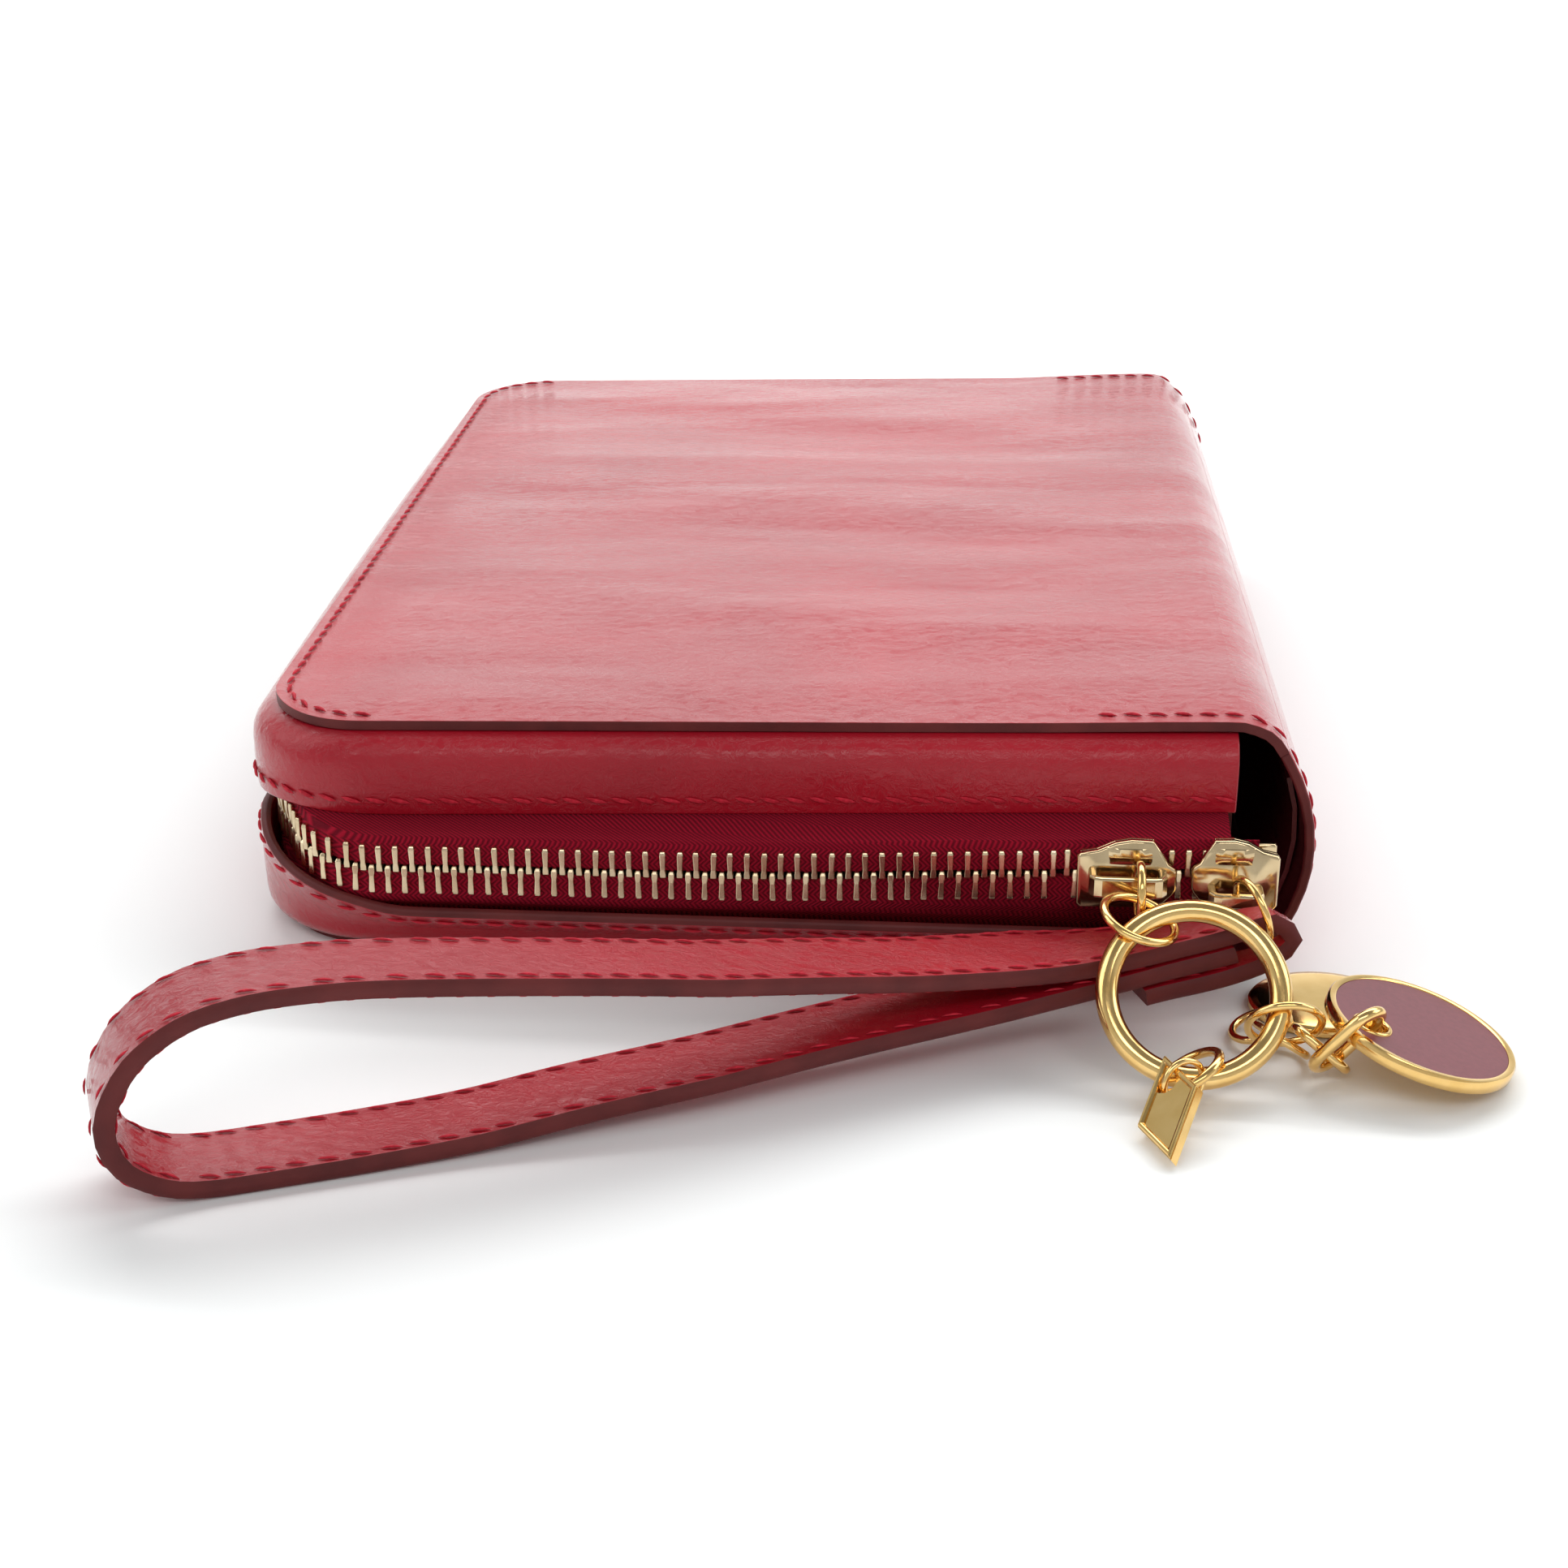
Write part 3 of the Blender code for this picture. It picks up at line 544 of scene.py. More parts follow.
def teeth(name, places, side, body, node_names):
    """Teeth at (x, y, z, outward) places. side is 1 above the middle of the chain."""
    shape, shape_faces = tooth_shape()
    points, faces = [], []
    for x, y, z, nx, ny in places:
        out = Vector((nx, ny, 0.0))
        along = Vector((-ny, nx, 0.0))
        base = len(points)
        wobble = random.uniform(-0.03, 0.03)
        for px, py, pz in shape:
            p = Vector((x, y, z)) + along * (px + wobble * pz) - out * py + Vector((0, 0, side * pz))
            points.append(tuple(p))
        faces += [tuple(base + k for k in f) for f in shape_faces]
    item = add(name, points, faces, [TEETH], body, smooth=False)
    soften(item, 0.00012)
    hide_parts(*node_names)


def chain_places(stations, offset):
    """Where the teeth of one row stand; offset shifts them by part of a pitch."""
    places = []
    for k in range(len(stations) - 1):
        s, n = stations[k], stations[k + 1]
        o1, z1 = chain_at(s)
        o2, z2 = chain_at(n)
        a, b = Vector(out_of(s, o1, z1)), Vector(out_of(n, o2, z2))
        p = a.lerp(b, offset)
        nx, ny = s[2] + (n[2] - s[2]) * offset, s[3] + (n[3] - s[3]) * offset
        size = math.hypot(nx, ny)
        places.append((p.x, p.y, p.z, nx / size, ny / size))
    return places


def zip_chain():
    """Both rows of teeth round the rim and behind the sliders."""
    stations = rim(PITCH, SPLIT_X - 0.5, BACK_END)
    teeth("upper_zip_teeth", chain_places(stations, 0.0), 1, "upper_half", ["upper_teeth"])
    teeth("lower_zip_teeth", chain_places(stations, 0.5), -1, "lower_half", ["lower_teeth"])
    count = int((TAIL_END - SPLIT_X - 1.0) / PITCH)
    tail = []
    for k in range(count):
        x = SPLIT_X + 1.2 + PITCH * k
        tail.append((x, -HALF - CHAIN_FRONT, chain_level(x), 0.0, -1.0))
    teeth("upper_tail_zip_teeth", tail, 1, "upper_half", ["upper_tail_teeth"])
    shifted = [(x + PITCH / 2, y, z, nx, ny) for x, y, z, nx, ny in tail[:-1]]
    teeth("lower_tail_zip_teeth", shifted, -1, "lower_half", ["lower_tail_teeth"])


def tape_profile(side, s):
    """The section of one zip tape, from the chain back to the inside of its band."""
    x, f = s[0], s[4] if side > 0 else lower_open(s)
    o, z = chain_at(s)
    low = upper_low(x, f)
    if side > 0:
        line = [(o + 0.1, z + 0.55), (o + 0.15, z + 3.6), (o - 0.3, z + 4.4),
                (mix(f, min(1.0, o), -2.3), mix(f, low - 0.2, 23.2)),
                (mix(f, -1.7, -2.3), mix(f, low + 0.3, 24.6)),
                (mix(f, -1.8, -2.4), mix(f, low + 3.0, 26.0))]
    else:
        line = [(o + 0.1, z - 0.55), (o + 0.15, z - 3.6), (o - 0.2, z - 4.8),
                (mix(f, min(3.4, o), -2.3), mix(f, 8.8, 10.8)), (mix(f, -0.5, -2.2), mix(f, 7.0, 9.4)),
                (mix(f, -2.6, -2.6), mix(f, 5.2, 8.4))]
    return thick(line, side * 0.5, 0.05)


def tapes():
    """The woven tapes round the rim and their free ends."""
    stations = rim(2.2, 57.5, BACK_END)
    for side, word in ((1, "upper"), (-1, "lower")):
        item = sweep(
            word + "_tape_cloth", stations, lambda s, side=side: tape_profile(side, s), [TAPE],
            word + "_half")
        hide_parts(word + "_zip_tape")
    for side, word in ((1, "upper"), (-1, "lower")):
        points = []
        steps = 10
        for k in range(steps + 1):
            x = SPLIT_X + (TAIL_END - SPLIT_X) * k / steps
            for o, h in ((-0.7, 0.6), (-0.4, 0.6), (-0.4, 4.2), (-0.7, 4.2)):
                points.append((x, -HALF - CHAIN_FRONT - o, chain_level(x) + side * h))
        faces = ring_faces(steps + 1, 4) + end_faces(steps + 1, 4)
        item = add(word + "_tail_cloth", points, faces, [TAPE], word + "_half", smooth=False)
        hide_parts(word + "_tail_tape")


# ---------------------------------------------------------------- cover panels

def half_width(x):
    """Half the cover's width at x, with its rounded left corners."""
    reach = PANEL_LEFT + PANEL_CORNER - x
    if reach <= 0:
        return PANEL_HALF
    return PANEL_HALF - PANEL_CORNER + math.sqrt(max(PANEL_CORNER ** 2 - reach * reach, 0.0))


def outline_x():
    """The x values at which the flat covers are built, close together at the corners."""
    xs = [PANEL_LEFT + PANEL_CORNER * (1 - math.cos(math.radians(a))) for a in range(0, 91, 6)]
    x = xs[-1] + 3.0
    while x < BAND_RIGHT:
        xs.append(x)
        x += 3.0
    return xs


TOP_CURVE = [(59.2, 35.3), (61.0, 34.85), (62.6, 34.0), (63.9, 32.9), (65.0, 31.3)]
SPINE_CURVE = [(65.8, 29.9), (67.0, 27.6), (68.1, 24.8), (68.9, 21.5), (69.2, 18.2), (69.1, 15.0),
               (68.6, 12.2), (67.7, 9.3), (66.7, 7.0), (65.7, 5.2)]
BOTTOM_CURVE = [(64.7, 3.8), (63.3, 2.3), (61.6, 1.0), (59.3, 0.1)]


def top_height(x, y, z):
    """The top panel's soft cross waves and its slightly raised edge by the spine."""
    wave = 0.42 * math.sin(y / 9.0 + 0.9 * math.sin(x / 27.0)) * math.exp(-(((x + 2) / 50.0) ** 2))
    wave += 0.16 * math.sin(y / 4.3 + x / 19.0) * math.exp(-(((x - 14) / 40.0) ** 2))
    fade = smoothstep((PANEL_HALF + 4.0 - abs(y)) / 18.0) * smoothstep((x - PANEL_LEFT) / 18.0)
    rise = 0.7 * smoothstep((abs(y) - 55.0) / 34.0) * smoothstep((x - 30.0) / 25.0) * (1 if y > 0 else 0.3)
    return z + wave * fade * 0.7 + rise - 0.42 * smoothstep((-y - PANEL_HALF + 8.0) / 8.0)


def leather_sheet(name, rows, thickness, materials, body, columns=72):
    """A sheet through (x, z, half width) rows, with painted edges."""
    count = columns + 1
    points = []
    for x, z, half, lift in rows:
        for k in range(count):
            y = -half + 2 * half * k / columns
            points.append((x, y, lift(x, y, z) if lift else z))
    normals = sheet_normals(points, len(rows), count)
    outer = len(points)
    points += [tuple(Vector(p) - n * thickness) for p, n in zip(points, normals)]
    faces, indices = [], []
    for r in range(len(rows) - 1):
        for k in range(columns):
            a = r * count + k
            faces.append((a, a + 1, a + count + 1, a + count))
            indices.append(0)
            b = a + outer
            faces.append((b, b + count, b + count + 1, b + 1))
            indices.append(2)
    border = [k for k in range(count)] + [r * count + columns for r in range(1, len(rows))]
    border += [(len(rows) - 1) * count + k for k in range(columns - 1, -1, -1)]
    border += [r * count for r in range(len(rows) - 2, 0, -1)]
    for a, b in zip(border, border[1:] + border[:1]):
        faces.append((a, a + outer, b + outer, b))
        indices.append(1)
    return add(name, points, faces, materials, body, indices)


def sheet_normals(points, rows, count):
    """A grid's normals at its points."""
    grid = [Vector(p) for p in points]
    normals = []
    for r in range(rows):
        for k in range(count):
            a = grid[min(r + 1, rows - 1) * count + k] - grid[max(r - 1, 0) * count + k]
            b = grid[r * count + min(k + 1, count - 1)] - grid[r * count + max(k - 1, 0)]
            n = a.cross(b)
            normals.append(n.normalized() if n.length > 1e-9 else Vector((0, 0, 1)))
    return normals


def covers():
    """Top, spine and bottom leather. Each crosses a hinge, but is attached to one body only."""
    top = [(x, top_z(x), half_width(x), top_height) for x in outline_x()]
    for k, (x, z) in enumerate(TOP_CURVE):
        top.append((x, z, PANEL_HALF + 0.3 * k / 4, top_height if k < 2 else None))
    spine = [(x, z, PANEL_HALF + 0.5, None) for x, z in SPINE_CURVE]
    bottom = [(x, z, PANEL_HALF, None) for x, z in BOTTOM_CURVE]
    bottom += [(x, 0.05, half_width(x), None) for x in reversed(outline_x())]
    kinds = [RED, EDGE, LINING]
    upper = leather_sheet("top_cover_skin", top, 1.35, kinds, None)
    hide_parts("top_cover")
    middle = leather_sheet("spine_cover_skin", [top[-1]] + spine + [bottom[0]], 1.35, kinds, None)
    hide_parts("spine_cover")
    lower = leather_sheet("bottom_cover_skin", bottom, 1.35, kinds, None)
    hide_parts("bottom_cover")
    for item, width in ((upper, 0.0003), (middle, 0.0003), (lower, 0.0003)):
        soften(item, width)
    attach(upper, "upper_half")
    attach(middle, "spine")
    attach(lower, "lower_half")
    edge_stitches(top, spine, bottom)


def spread(line, spacing):
    """Evenly spaced (point, direction, index of the stretch) along a line of points."""
    found = []
    carried = 0.0
    for k, (a, b) in enumerate(zip(line[:-1], line[1:])):
        d = (b - a).normalized()
        while carried < (b - a).length:
            found.append((a + d * carried, d, k))
            carried += spacing
        carried -= (b - a).length
    return found


def edge_stitches(top, spine, bottom):
    """Stitching inside the near and far edges of the covers, where they go round the spine."""
    middle = Vector((40.0, 0.0, 17.0))
    start_x = 45.0
    inset = 2.2
    for rows, body in ((top, "upper_half"), (spine, "spine"), (bottom, "lower_half")):
        places = []
        kept = [k for k, row in enumerate(rows) if row[0] >= start_x]
        if body == "upper_half":
            kept.insert(0, kept[0] - 1)
        elif body == "lower_half":
            kept.append(kept[-1] + 1)
        bent = [rows[k] for k in kept]
        line = [Vector((x, 0, z)) for x, z, _, _ in bent]
        for side in (-1, 1):
            for p, d, k in spread(line, 3.2):
                up = Vector((d.z, 0, -d.x))
                if up.dot(line[k] - middle) <= 0:
                    up = -up
                y = side * (bent[k][2] - inset)
                z = bent[k][3](p.x, y, p.z) if bent[k][3] else p.z
                places.append(((p.x, y, z), tuple(d), tuple(up)))
        stitch_run(body + "_edge_stitches", places, body, 2.5, 0.45)


def panel_piping():
    """The close stitches along the top panel's left side and round its corners."""
    radius, inset = PANEL_CORNER, 1.8
    corner = []
    for a in range(0, 91, 6):
        r = math.radians(a)
        reach = radius - inset
        x = PANEL_LEFT + radius - reach * math.sin(r)
        corner.append(Vector((x, -PANEL_HALF + radius - reach * math.cos(r), 0)))
    line = list(corner)
    y = -PANEL_HALF + radius + 3.0
    while y < PANEL_HALF - radius:
        line.append(Vector((PANEL_LEFT + inset, y, 0)))
        y += 3.0
    line += [Vector((p.x, -p.y, 0)) for p in reversed(corner)]
    places = []
    for p, d, _ in spread(line, 3.1):
        places.append(((p.x, p.y, top_height(p.x, p.y, top_z(p.x)) + 0.05), tuple(d), (0, 0, 1)))
    stitch_run("panel_stitches", places, "upper_half", 2.6, 0.5)


# ---------------------------------------------------------------- wrist strap

STRAP = [
    (8.2, 11.9), (13.0, 10.5), (20.0, 9.1), (30.0, 7.7), (40.0, 6.6), (59.6, 5.3), (82.0, 3.5),
    (96.0, 1.9), (107.0, 1.4), (117.0, 1.3), (124.5, 1.4), (129.0, 2.4), (132.8, 5.2), (134.3, 9.0),
    (133.9, 13.0), (131.0, 18.2), (126.0, 21.9), (120.5, 23.4), (114.0, 23.7), (104.0, 22.9),
    (82.0, 19.4), (59.6, 15.3), (45.0, 12.7), (30.3, 11.3), (20.0, 11.9), (13.0, 13.2), (8.0, 14.7),
    (3.9, 16.3), (1.2, 13.6), (3.9, 10.9), (8.2, 9.0), (13.0, 7.6), (19.0, 6.5),
]
STRAP_SLOPE = 0.395


def strap_point(t, z, across):
    """A point of the strap's route: t along the floor, z up and across its width."""
    bow = 2.1 * math.sin(math.pi * min(t, 70.0) / 70.0)
    bow -= 2.8 * (1 - smoothstep(t / 18.0))
    yaw = math.atan(STRAP_SLOPE)
    x = 66.2 - t - across * math.sin(yaw)
    return Vector((x, -104.2 - STRAP_SLOPE * t + bow + across * math.cos(yaw), z))


def dense(line, step):
    """A smooth curve through the points of a line, with even steps."""
    out = []
    for k in range(len(line) - 1):
        p0, p1 = Vector(line[max(k - 1, 0)]), Vector(line[k])
        p2, p3 = Vector(line[k + 1]), Vector(line[min(k + 2, len(line) - 1)])
        pieces = max(int((p2 - p1).length / step), 1)
        for j in range(pieces):
            u = j / pieces
            q = 0.5 * ((2 * p1) + (p2 - p0) * u + (2 * p0 - 5 * p1 + 4 * p2 - p3) * u * u
                       + (3 * p1 - p0 - 3 * p2 + p3) * u ** 3)
            out.append(q)
    out.append(Vector(line[-1]))
    return out


def strap():
    """The doubled wrist strap with its painted edges and stitches."""
    path = dense(STRAP, 1.5)
    half = 1.1
    points, frames = [], []
    for k, q in enumerate(path):
        before, after = path[max(k - 1, 0)], path[min(k + 1, len(path) - 1)]
        d = (after - before).normalized()
        side = Vector((-d.y, d.x))
        width = min(11.5, 2.2 + 0.3 * q.x)
        corners = [(0.35, 1), (width - 0.35, 1), (width - 0.1, 0.7), (width, 0.0), (width - 0.1, -0.7),
                   (width - 0.35, -1), (0.35, -1), (0.1, -0.7), (0.0, 0.0), (0.1, 0.7)]
        for across, up in corners:
            o = q + side * up * half
            points.append(tuple(strap_point(o.x, o.y, across)))
        frames.append((q, d, side, width))
        ring = len(corners)
    faces = ring_faces(len(path), ring) + end_faces(len(path), ring)
    indices = [0 if k in (0, 5) else 1 for k in range(ring)] * (len(path) - 1) + [1, 1]
    item = add("wrist_strap_leather", points, faces, [RED_STRAP, EDGE], None, indices)
    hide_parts("wrist_strap")
    sewn = strap_stitches(frames, half)
    for piece in (item, sewn):
        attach(piece, "wrist_strap")
        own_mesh(piece)


def strap_stitches(frames, half):
    """Stitch rows along both edges of the strap, on both faces."""
    places = []
    travelled = 0.0
    for (q, d, side, width), (nxt, _, _, _) in zip(frames[:-1], frames[1:]):
        travelled += (nxt - q).length
        if travelled < 2.9:
            continue
        travelled = 0.0
        for face in (1, -1):
            for across in (1.1, width - 1.1):
                if width < 5:
                    continue
                o = q + side * face * half
                p = strap_point(o.x, o.y, across)
                e = strap_point(o.x + d.x, o.y + d.y, across)
                n = strap_point(o.x + side.x * face, o.y + side.y * face, across)
                places.append((tuple(p), tuple(e - p), tuple(n - p)))
    return stitch_run("strap_stitches", places, None, 2.5, 0.34)


# ---------------------------------------------------------------- metal pieces

def torus_from(node):
    """Centre, normal, ring radius and wire radius of a CAD ring, read from its mesh."""
    verts = [v.co.copy() for v in nodes[node].data.vertices]
    centre = sum(verts, Vector()) / len(verts)
    cov = [[sum((v - centre)[i] * (v - centre)[j] for v in verts) for j in range(3)] for i in range(3)]
    normal = smallest_axis(cov)
    flat = [((v - centre) - normal * (v - centre).dot(normal)).length for v in verts]
    wire = (max(flat) - min(flat)) / 2
    return centre, normal, (max(flat) + min(flat)) / 2, wire


def smallest_axis(cov):
    """The direction in which the points spread least, by applying the inverse again and again."""
    scale = cov[0][0] + cov[1][1] + cov[2][2]
    inverse = Matrix([[c / scale for c in row] for row in cov]).inverted()
    v = Vector((0.3, 0.5, 0.8))
    for _ in range(60):
        v = (inverse @ v).normalized()
    return v


def metal_ring(node, body, wire_scale=1.0):
    """A round wire ring in place of its CAD ring."""
    centre, normal, radius, wire = torus_from(node)
    bpy.ops.mesh.primitive_torus_add(
        major_radius=radius, minor_radius=wire * wire_scale, major_segments=72, minor_segments=20)
    item = bpy.context.object
    item.name = node + "_wire"
    item.data.name = item.name
    turn = normal.to_track_quat("Z", "Y").to_matrix().to_4x4()
    item.data.transform(Matrix.Translation(centre) @ turn)
    item.data.shade_smooth()
    item.data.materials.append(GOLD)
    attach(item, body)
    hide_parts(node)
    return item


def rings():
    """All round rings."""
    for name in ("pull_ring", "joining_ring", "key_ring", "tag_ring", "tag_link", "charm_ring",
                 "oval_charm_link", "oval_charm_ring", "strap_ring"):
        metal_ring(name, name, 0.8 if name == "strap_ring" else 1.0)


def link(name, centre, normal, along, radius, straight, wire):
    """A chain link as a smooth closed wire."""
    z = Vector(normal).normalized()
    x = Vector(along)
    x = (x - z * x.dot(z)).normalized()
    y = z.cross(x)
    path = []
    for side in (1, -1):
        for k in range(17):
            a = math.pi * (k / 16 - 0.5) + (0 if side == 1 else math.pi)
            reach = radius * math.cos(a) + side * straight / 2
            path.append(Vector(centre) + x * reach + y * radius * math.sin(a))
    points, faces = [], []
    for k, p in enumerate(path):
        d = (path[(k + 1) % len(path)] - path[k - 1]).normalized()
        side = d.cross(z).normalized()
        for j in range(16):
            a = math.pi * 2 * j / 16
            points.append(tuple(p + side * wire * math.cos(a) + z * wire * math.sin(a)))
    n = len(path)
    for k in range(n):
        for j in range(16):
            a, b = k * 16 + j, k * 16 + (j + 1) % 16
            c = ((k + 1) % n) * 16
            faces.append((a, b, c + (j + 1) % 16, c + j))
    item = add(name + "_wire", points, faces, [GOLD], name)
    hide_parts(name)


def finish_metal(name, width, material=None):
    """A CAD metal piece kept as it is, with rounded edges and its metal."""
    item = nodes[name]
    item.data.materials.clear()
    item.data.materials.append(material or GOLD)
    soften(item, width)
    item.modifiers["bevel"].segments = 3
    item.modifiers["bevel"].angle_limit = math.radians(35)
    normals = item.modifiers.new("normals", "WEIGHTED_NORMAL")
    normals.keep_sharp = True
    item.data.polygons.foreach_set("use_smooth", [True] * len(item.data.polygons))


SLIDER_TOP = [(-6.2, 3.0), (-5.9, 3.4), (-3.8, 3.8), (-1.6, 4.9), (0.4, 5.3), (3.2, 5.2),
              (4.3, 3.6), (5.1, 2.1), (5.9, 1.6), (6.2, 1.1)]
SLIDER_LOW = [(6.2, -1.2), (5.9, -1.9), (4.8, -3.1), (3.0, -3.8), (-2.0, -3.9), (-5.8, -3.9), (-6.2, -3.4)]


def slider_body(number, x, facing, half):
    """A cast slider: two shaped plates, lips along the front one, a raised crown and a bridge."""
    y, z = -HALF - CHAIN_FRONT, chain_level(x)
    stretch = facing * half / 6.2
    outline = SLIDER_TOP + SLIDER_LOW
    for depth, word, limit in ((-2.5, "front", 9.0), (1.4, "back", 3.3)):
        points = []
        layers = [(0.0, 0.95), (0.15, 0.985), (0.35, 1.0), (0.9, 1.0), (1.1, 0.97)]
        n = len(outline)
        for d, scale in layers:
            for u, h in outline:
                tall = max(min(h, limit), -limit) * scale
                points.append((x + stretch * u * scale, y + depth + d, z + tall))
        faces = ring_faces(len(layers), n) + end_faces(len(layers), n)
        item = add(f"slider_{number}_{word}_plate", points, faces, [SLIDER], f"slider_{number}")
        soften(item, 0.00025)
        item.modifiers["bevel"].segments = 3
        if word == "front":
            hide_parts(f"slider_{number}_body")
    lips(number, x, y, z, stretch)
    crown(number, x, y, z, stretch)
    bridge(number, y)


def lips(number, x, y, z, stretch):
    """The turned lips that run along the top and bottom of the slider's front plate."""
    points, faces = [], []
    for line, side in ((SLIDER_TOP[1:6], -1), (SLIDER_LOW[3:6], 1)):
        base = len(points)
        for u, h in line:
            for o, g in ((-1.6, 0.0), (-1.0, 0.0), (-1.0, 0.5), (-1.6, 0.5)):
                points.append((x + stretch * u, y + o, z + h + side * g))
        faces += ring_faces(len(line), 4, base) + end_faces(len(line), 4, base)
    item = add(f"slider_{number}_lips", points, faces, [SLIDER], f"slider_{number}", smooth=False)
    soften(item, 0.00012)


def crown(number, x, y, z, stretch):
    """A low ridge on the upper part of the slider's front plate."""
    points = []
    steps = 10
    for k in range(steps + 1):
        t = k / steps
        u = -2.6 + 5.8 * t
        rise = 0.32 * math.sin(math.pi * t) ** 0.6 if 0 < t < 1 else 0.0
        for o, h in ((0.1, 4.4), (-rise * 0.6, 4.2), (-rise, 3.4), (-rise * 0.5, 2.2), (0.1, 1.9)):
            points.append((x + stretch * u, y - 2.45 + o, z + h))
    faces = ring_faces(steps + 1, 5) + end_faces(steps + 1, 5)
    item = add(f"slider_{number}_crown", points, faces, [SLIDER], f"slider_{number}")


def bridge(number, y):
    """The bent bar over the slider that the ring runs on."""
    low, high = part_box(f"slider_{number}_bridge")
    middle, tall = (low[2] + high[2]) / 2 / MM, (high[2] - low[2]) / 2 / MM
    if number == 1:
        tall += 0.25
    x0, x1 = low[0] / MM, high[0] / MM
    front = low[1] / MM
    back = y - 2.4
    path = [(x0 + 0.5, back), (x0 + 0.5, front + 1.2), (x0 + 0.9, front + 0.65), (x0 + 1.6, front + 0.5),
            (x1 - 1.6, front + 0.5), (x1 - 0.9, front + 0.65), (x1 - 0.5, front + 1.2), (x1 - 0.5, back)]
    points = []
    for k, (px, py) in enumerate(path):
        a, b = path[max(k - 1, 0)], path[min(k + 1, len(path) - 1)]
        d = Vector((b[0] - a[0], b[1] - a[1])).normalized()
        n = Vector((-d.y, d.x))
        for side, up in ((0.5, -1), (0.5, 1), (-0.5, 1), (-0.5, -1)):
            points.append((px + n.x * side, py + n.y * side, middle + up * tall))
    faces = ring_faces(len(path), 4) + end_faces(len(path), 4)
    item = add(f"slider_{number}_bridge_bar", points, faces, [SLIDER], f"slider_{number}", smooth=False)
    soften(item, 0.0003)
    item.modifiers["bevel"].segments = 3
    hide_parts(f"slider_{number}_bridge")


def coin():
    """The round charm: a rim that stands round a sunk enamel face, with a metal eye for its hole."""
    z = Vector((0.284, 0.0, 0.959)).normalized()
    x = (Vector((1, 0, 0)) - z * z.x).normalized()
    turn = Matrix((x, z.cross(x), z)).transposed().to_4x4()
    place = Matrix.Translation(Vector((79.9, -113.35, 4.8)) * MM) @ turn
    eye = Vector((-6.9, -3.5))
    seg = 96
    body = disc_with_hole(
        [(11.9, -0.55), (11.6, -0.9)],
        [(11.9, 0.7), (11.72, 0.95), (11.2, 1.0), (10.95, 0.85), (10.9, 0.62)],
        eye, 1.9, -0.9, 0.62, seg)
    item = add("coin_metal", *body, [GOLD], None)
    item.data.transform(place)
    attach(item, "coin_charm")
    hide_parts("coin_charm")
    face = annulus_face(10.9, eye, 2.45, 0.8, seg)
    inlay = add("coin_inlay", *face, [ENAMEL], None, smooth=False)
    inlay.data.transform(place)
    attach(inlay, "coin_charm")
    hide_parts("coin_enamel")
    bpy.ops.mesh.primitive_torus_add(
        major_radius=2.2 * MM, minor_radius=0.32 * MM, major_segments=40, minor_segments=12)
    rim_ring = bpy.context.object
    rim_ring.name = "coin_eye"
    rim_ring.data.transform(place @ Matrix.Translation((eye.x * MM, eye.y * MM, 0.78 * MM)))
    rim_ring.data.shade_smooth()
    rim_ring.data.materials.append(GOLD)
    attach(rim_ring, "coin_charm")


def loop_quads(first, second, n):
    """Quads between two loops of n points each, from the numbers of their first points."""
    return [(first + k, first + (k + 1) % n, second + (k + 1) % n, second + k) for k in range(n)]


def disc_with_hole(low, high, eye, hole, low_z, high_z, n):
    """A turned disc with an off-centre hole through it."""
    loops = []
    angles = [math.pi * 2 * k / n for k in range(n)]
    ring = [Vector((math.cos(a), math.sin(a))) for a in angles]
    loops.append([(eye.x + hole * v.x, eye.y + hole * v.y, low_z) for v in ring])
    loops += [[(r * v.x, r * v.y, h) for v in ring] for r, h in reversed(low)]
    loops += [[(r * v.x, r * v.y, h) for v in ring] for r, h in high]
    loops.append([(eye.x + hole * v.x, eye.y + hole * v.y, high_z) for v in ring])
    points = [p for loop in loops for p in loop]
    faces = []
    for k in range(len(loops)):
        faces += loop_quads(k * n, ((k + 1) % len(loops)) * n, n)
    return points, faces


def annulus_face(radius, eye, hole, z, n):
    """A thin flat disc with an off-centre hole."""
    ring = [Vector((math.cos(math.pi * 2 * k / n), math.sin(math.pi * 2 * k / n))) for k in range(n)]
    outer = [(radius * v.x, radius * v.y, z) for v in ring]
    inner = [(eye.x + hole * v.x, eye.y + hole * v.y, z) for v in ring]
    under_outer = [(px, py, z - 0.12) for px, py, _ in outer]
    under_inner = [(px, py, z - 0.12) for px, py, _ in inner]
    points = outer + inner + under_inner + under_outer
    faces = []
    for k in range(4):
        faces += loop_quads(k * n, ((k + 1) % 4) * n, n)
    return points, faces


def oval():
    """The oval charm: a softly domed plate with a small eyelet."""
    n = 64
    points = []
    profile = [(1.0, 0.25), (1.0, 1.1), (0.97, 1.4), (0.85, 1.55), (0.5, 1.75), (0.2, 1.82)]
    for scale, z in profile:
        for k in range(n):
            a = math.pi * 2 * k / n
            points.append((70.4 + 9.4 * scale * math.cos(a), -98.9 + 8.2 * scale * math.sin(a), z))
    faces = ring_faces(len(profile), n) + end_faces(len(profile), n)
    item = add("oval_plate", points, faces, [GOLD], "oval_charm")
    soften(item, 0.0002)
    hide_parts("oval_charm")
    bpy.ops.mesh.primitive_torus_add(
        major_radius=1.5 * MM, minor_radius=0.5 * MM, major_segments=32, minor_segments=12)
    eyelet = bpy.context.object
    eyelet.name = "oval_eyelet"
    turn = Vector((-0.69, 0.72, 0.0)).to_track_quat("Z", "Y").to_matrix().to_4x4()
    eyelet.data.transform(Matrix.Translation(Vector((64.35, -104.75, 2.75)) * MM) @ turn)
    eyelet.data.shade_smooth()
    eyelet.data.materials.append(GOLD)
    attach(eyelet, "oval_charm")


